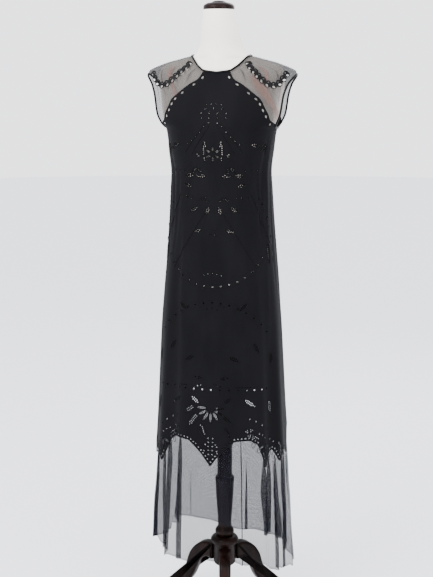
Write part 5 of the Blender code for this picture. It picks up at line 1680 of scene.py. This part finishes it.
class DRESS_OT_make_stand(bpy.types.Operator):
    """Turn the wooden cap, plate, column, sleeve and hub, and shape the three legs"""
    bl_idname = "dress.make_stand"
    bl_label = "Make Stand"

    def execute(self, context):
        axis = Vector((0, COLUMN_BACK, 0)) + ORIGIN
        neck = Vector((0, NECK_RINGS[-1].centre, NECK_TOP + SEAM)) + ORIGIN
        for name, profile, place, node in (
                ("turned_cap", CAP_PROFILE, neck, "neck_cap"),
                ("turned_column", COLUMN_PROFILE, axis, "column"),
                ("turned_sleeve", SLEEVE_PROFILE, axis, "sleeve"),
                ("turned_hub", HUB_PROFILE, axis, "hub")):
            verts, faces = lathe(softened(profile), context.scene.dress_stand.sides)
            self.wooden(name, [Vector(v) + place for v in verts], faces, node)
        self.make_plate()
        self.make_legs()
        return {"FINISHED"}

    def wooden(self, name, verts, faces, node):
        """Piece of dark wood."""
        piece(name, new_mesh(verts, faces, sharp=WOOD_SHARP), "wood", "dark_wood", node)

    def make_plate(self):
        """Wooden plate that closes the form below, with a rounded rim."""
        level = np.full(FORM_SIDES, TORSO_BOTTOM)
        ring = section_points(round_turns(FORM_SIDES), level, EASE_SIDE(level), EASE_DEPTH(level))
        top = TORSO_BOTTOM - SEAM
        verts = np.concatenate([stacked(ring[:, 0] * share, ring[:, 1] * share, top - down)
                                for down, share in PLATE_PROFILE])
        self.wooden("form_plate", moved(verts), tube_faces(len(PLATE_PROFILE), FORM_SIDES), "torso_base")

    def make_legs(self):
        """Three curved legs with rounded edges and flat soles."""
        t = np.linspace(0, len(LEG_SPINE) - 1, LEG_STEPS)
        reach, height, depth = (Curve(LEG_SPINE, "step", name)(t) for name in ("reach", "height", "depth"))
        spine = stacked(reach, height)
        along = unit(np.gradient(spine, axis=0))
        along[0] = (1, 0)
        across = stacked(-along[:, 1], along[:, 0]) * depth[:, None] / 2
        lower = spine - across
        lower = lower[lower[:, 0] < LEG_UNDERSIDE_END]
        outline = np.concatenate([(spine + across)[:-1], TOE, lower[::-1]])
        way = unit(np.roll(outline, -1, 0) - np.roll(outline, 1, 0))
        inward = stacked(way[:, 1], -way[:, 0])
        rows = [(LEG_ROUND * (1 - math.sin(turn)), LEG_WIDTH / 2 - LEG_ROUND * (1 - math.cos(turn)))
                for turn in np.linspace(QUARTER, 0, 6)]
        both = [(inset, -aside) for inset, aside in reversed(rows)] + rows
        faces = [face[::-1] for face in tube_faces(len(both), len(outline))]
        for name, turn in (("front", 0.0), ("left", 2 * math.pi / 3), ("right", -2 * math.pi / 3)):
            angle = -QUARTER + LEG_TURN + turn
            verts = []
            for inset, aside in both:
                flat = np.maximum(outline + inward * inset, (HUB_RADIUS + SEAM, 0.0))
                place = turned(flat[:, 0], aside, angle) + (0, COLUMN_BACK)
                verts.append(np.column_stack([place, flat[:, 1]]))
            self.wooden("wood_leg_" + name, moved(np.concatenate(verts)), faces, "leg_" + name)


class DRESS_OT_make_stage(bpy.types.Operator):
    """Lay the pale floor and set the soft studio light and the camera"""
    bl_idname = "dress.make_stage"
    bl_label = "Make Stage"

    def execute(self, context):
        scene = context.scene
        stage = scene.dress_stage
        mesh = bpy.data.meshes.new("studio_floor")
        rim = [(FLOOR_RADIUS * math.cos(t), FLOOR_RADIUS * math.sin(t), 0.0)
               for t in round_turns(FLOOR_SIDES)]
        mesh.from_pydata(rim, [], [tuple(range(FLOOR_SIDES))])
        mesh.materials.append(Finish("pale_floor", stage.floor, 0.8).material)
        floor = bpy.data.objects.new("studio_floor", mesh)
        scene.collection.objects.link(floor)
        world = bpy.data.worlds.new("soft_studio")
        world.use_nodes = True
        background = world.node_tree.nodes["Background"].inputs
        background["Color"].default_value = (*stage.backdrop, 1.0)
        background["Strength"].default_value = stage.strength
        scene.world = world
        for name, place, size, power in LAMPS:
            light = bpy.data.lights.new(name, "AREA")
            light.size = size
            light.energy = power
            lamp = bpy.data.objects.new(name, light)
            lamp.location = place
            lamp.rotation_euler = (LAMPS_AIM - Vector(place)).to_track_quat("-Z", "Y").to_euler()
            scene.collection.objects.link(lamp)
        self.set_camera(scene, stage)
        return {"FINISHED"}

    def set_camera(self, scene, stage):
        """Camera where the photograph was taken from."""
        data = bpy.data.cameras.new("camera")
        data.sensor_fit = "AUTO"
        data.sensor_width = SENSOR_WIDTH
        data.lens = FOCAL_PIXELS * SENSOR_WIDTH / FRAME_HEIGHT
        camera = bpy.data.objects.new("camera", data)
        turn = stage.azimuth
        reach = Vector((math.sin(turn), -math.cos(turn), 0)) * stage.distance
        camera.location = ORIGIN + reach + Vector((0, 0, stage.height))
        camera.rotation_euler = (QUARTER - stage.pitch, 0, turn + math.atan2(AXIS_PIXELS, FOCAL_PIXELS))
        scene.collection.objects.link(camera)
        scene.camera = camera


PIECES = (DRESS_OT_make_stage, DRESS_OT_make_form, DRESS_OT_make_stand, DRESS_OT_make_body,
          DRESS_OT_make_yoke, DRESS_OT_make_applique, DRESS_OT_make_bindings, DRESS_OT_make_net)


class DRESS_PT_panel(bpy.types.Panel):
    """Sizes and colours of the dress, its form and its stage"""
    bl_label = "Cutwork Dress"
    bl_idname = "DRESS_PT_panel"
    bl_space_type = "VIEW_3D"
    bl_region_type = "UI"
    bl_category = "Dress"

    def draw(self, context):
        for group in (context.scene.dress_cloth, context.scene.dress_stand, context.scene.dress_stage):
            box = self.layout.box()
            for name in group.__annotations__:
                box.prop(group, name)
        for kind in PIECES:
            self.layout.operator(kind.bl_idname)


GROUPS = (("dress_cloth", DressClothSettings), ("dress_stand", DressStandSettings),
          ("dress_stage", DressStageSettings))


def register():
    for name, group in GROUPS:
        bpy.utils.register_class(group)
        setattr(bpy.types.Scene, name, bpy.props.PointerProperty(type=group))
    for kind in (*PIECES, DRESS_PT_panel):
        bpy.utils.register_class(kind)


def unregister():
    for kind in (DRESS_PT_panel, *PIECES[::-1]):
        bpy.utils.unregister_class(kind)
    for name, group in GROUPS[::-1]:
        delattr(bpy.types.Scene, name)
        bpy.utils.unregister_class(group)


def main():
    """Make every piece."""
    register()
    for kind in PIECES:
        family, action = kind.bl_idname.split(".")
        getattr(getattr(bpy.ops, family), action)()


if __name__ == "__main__":
    main()
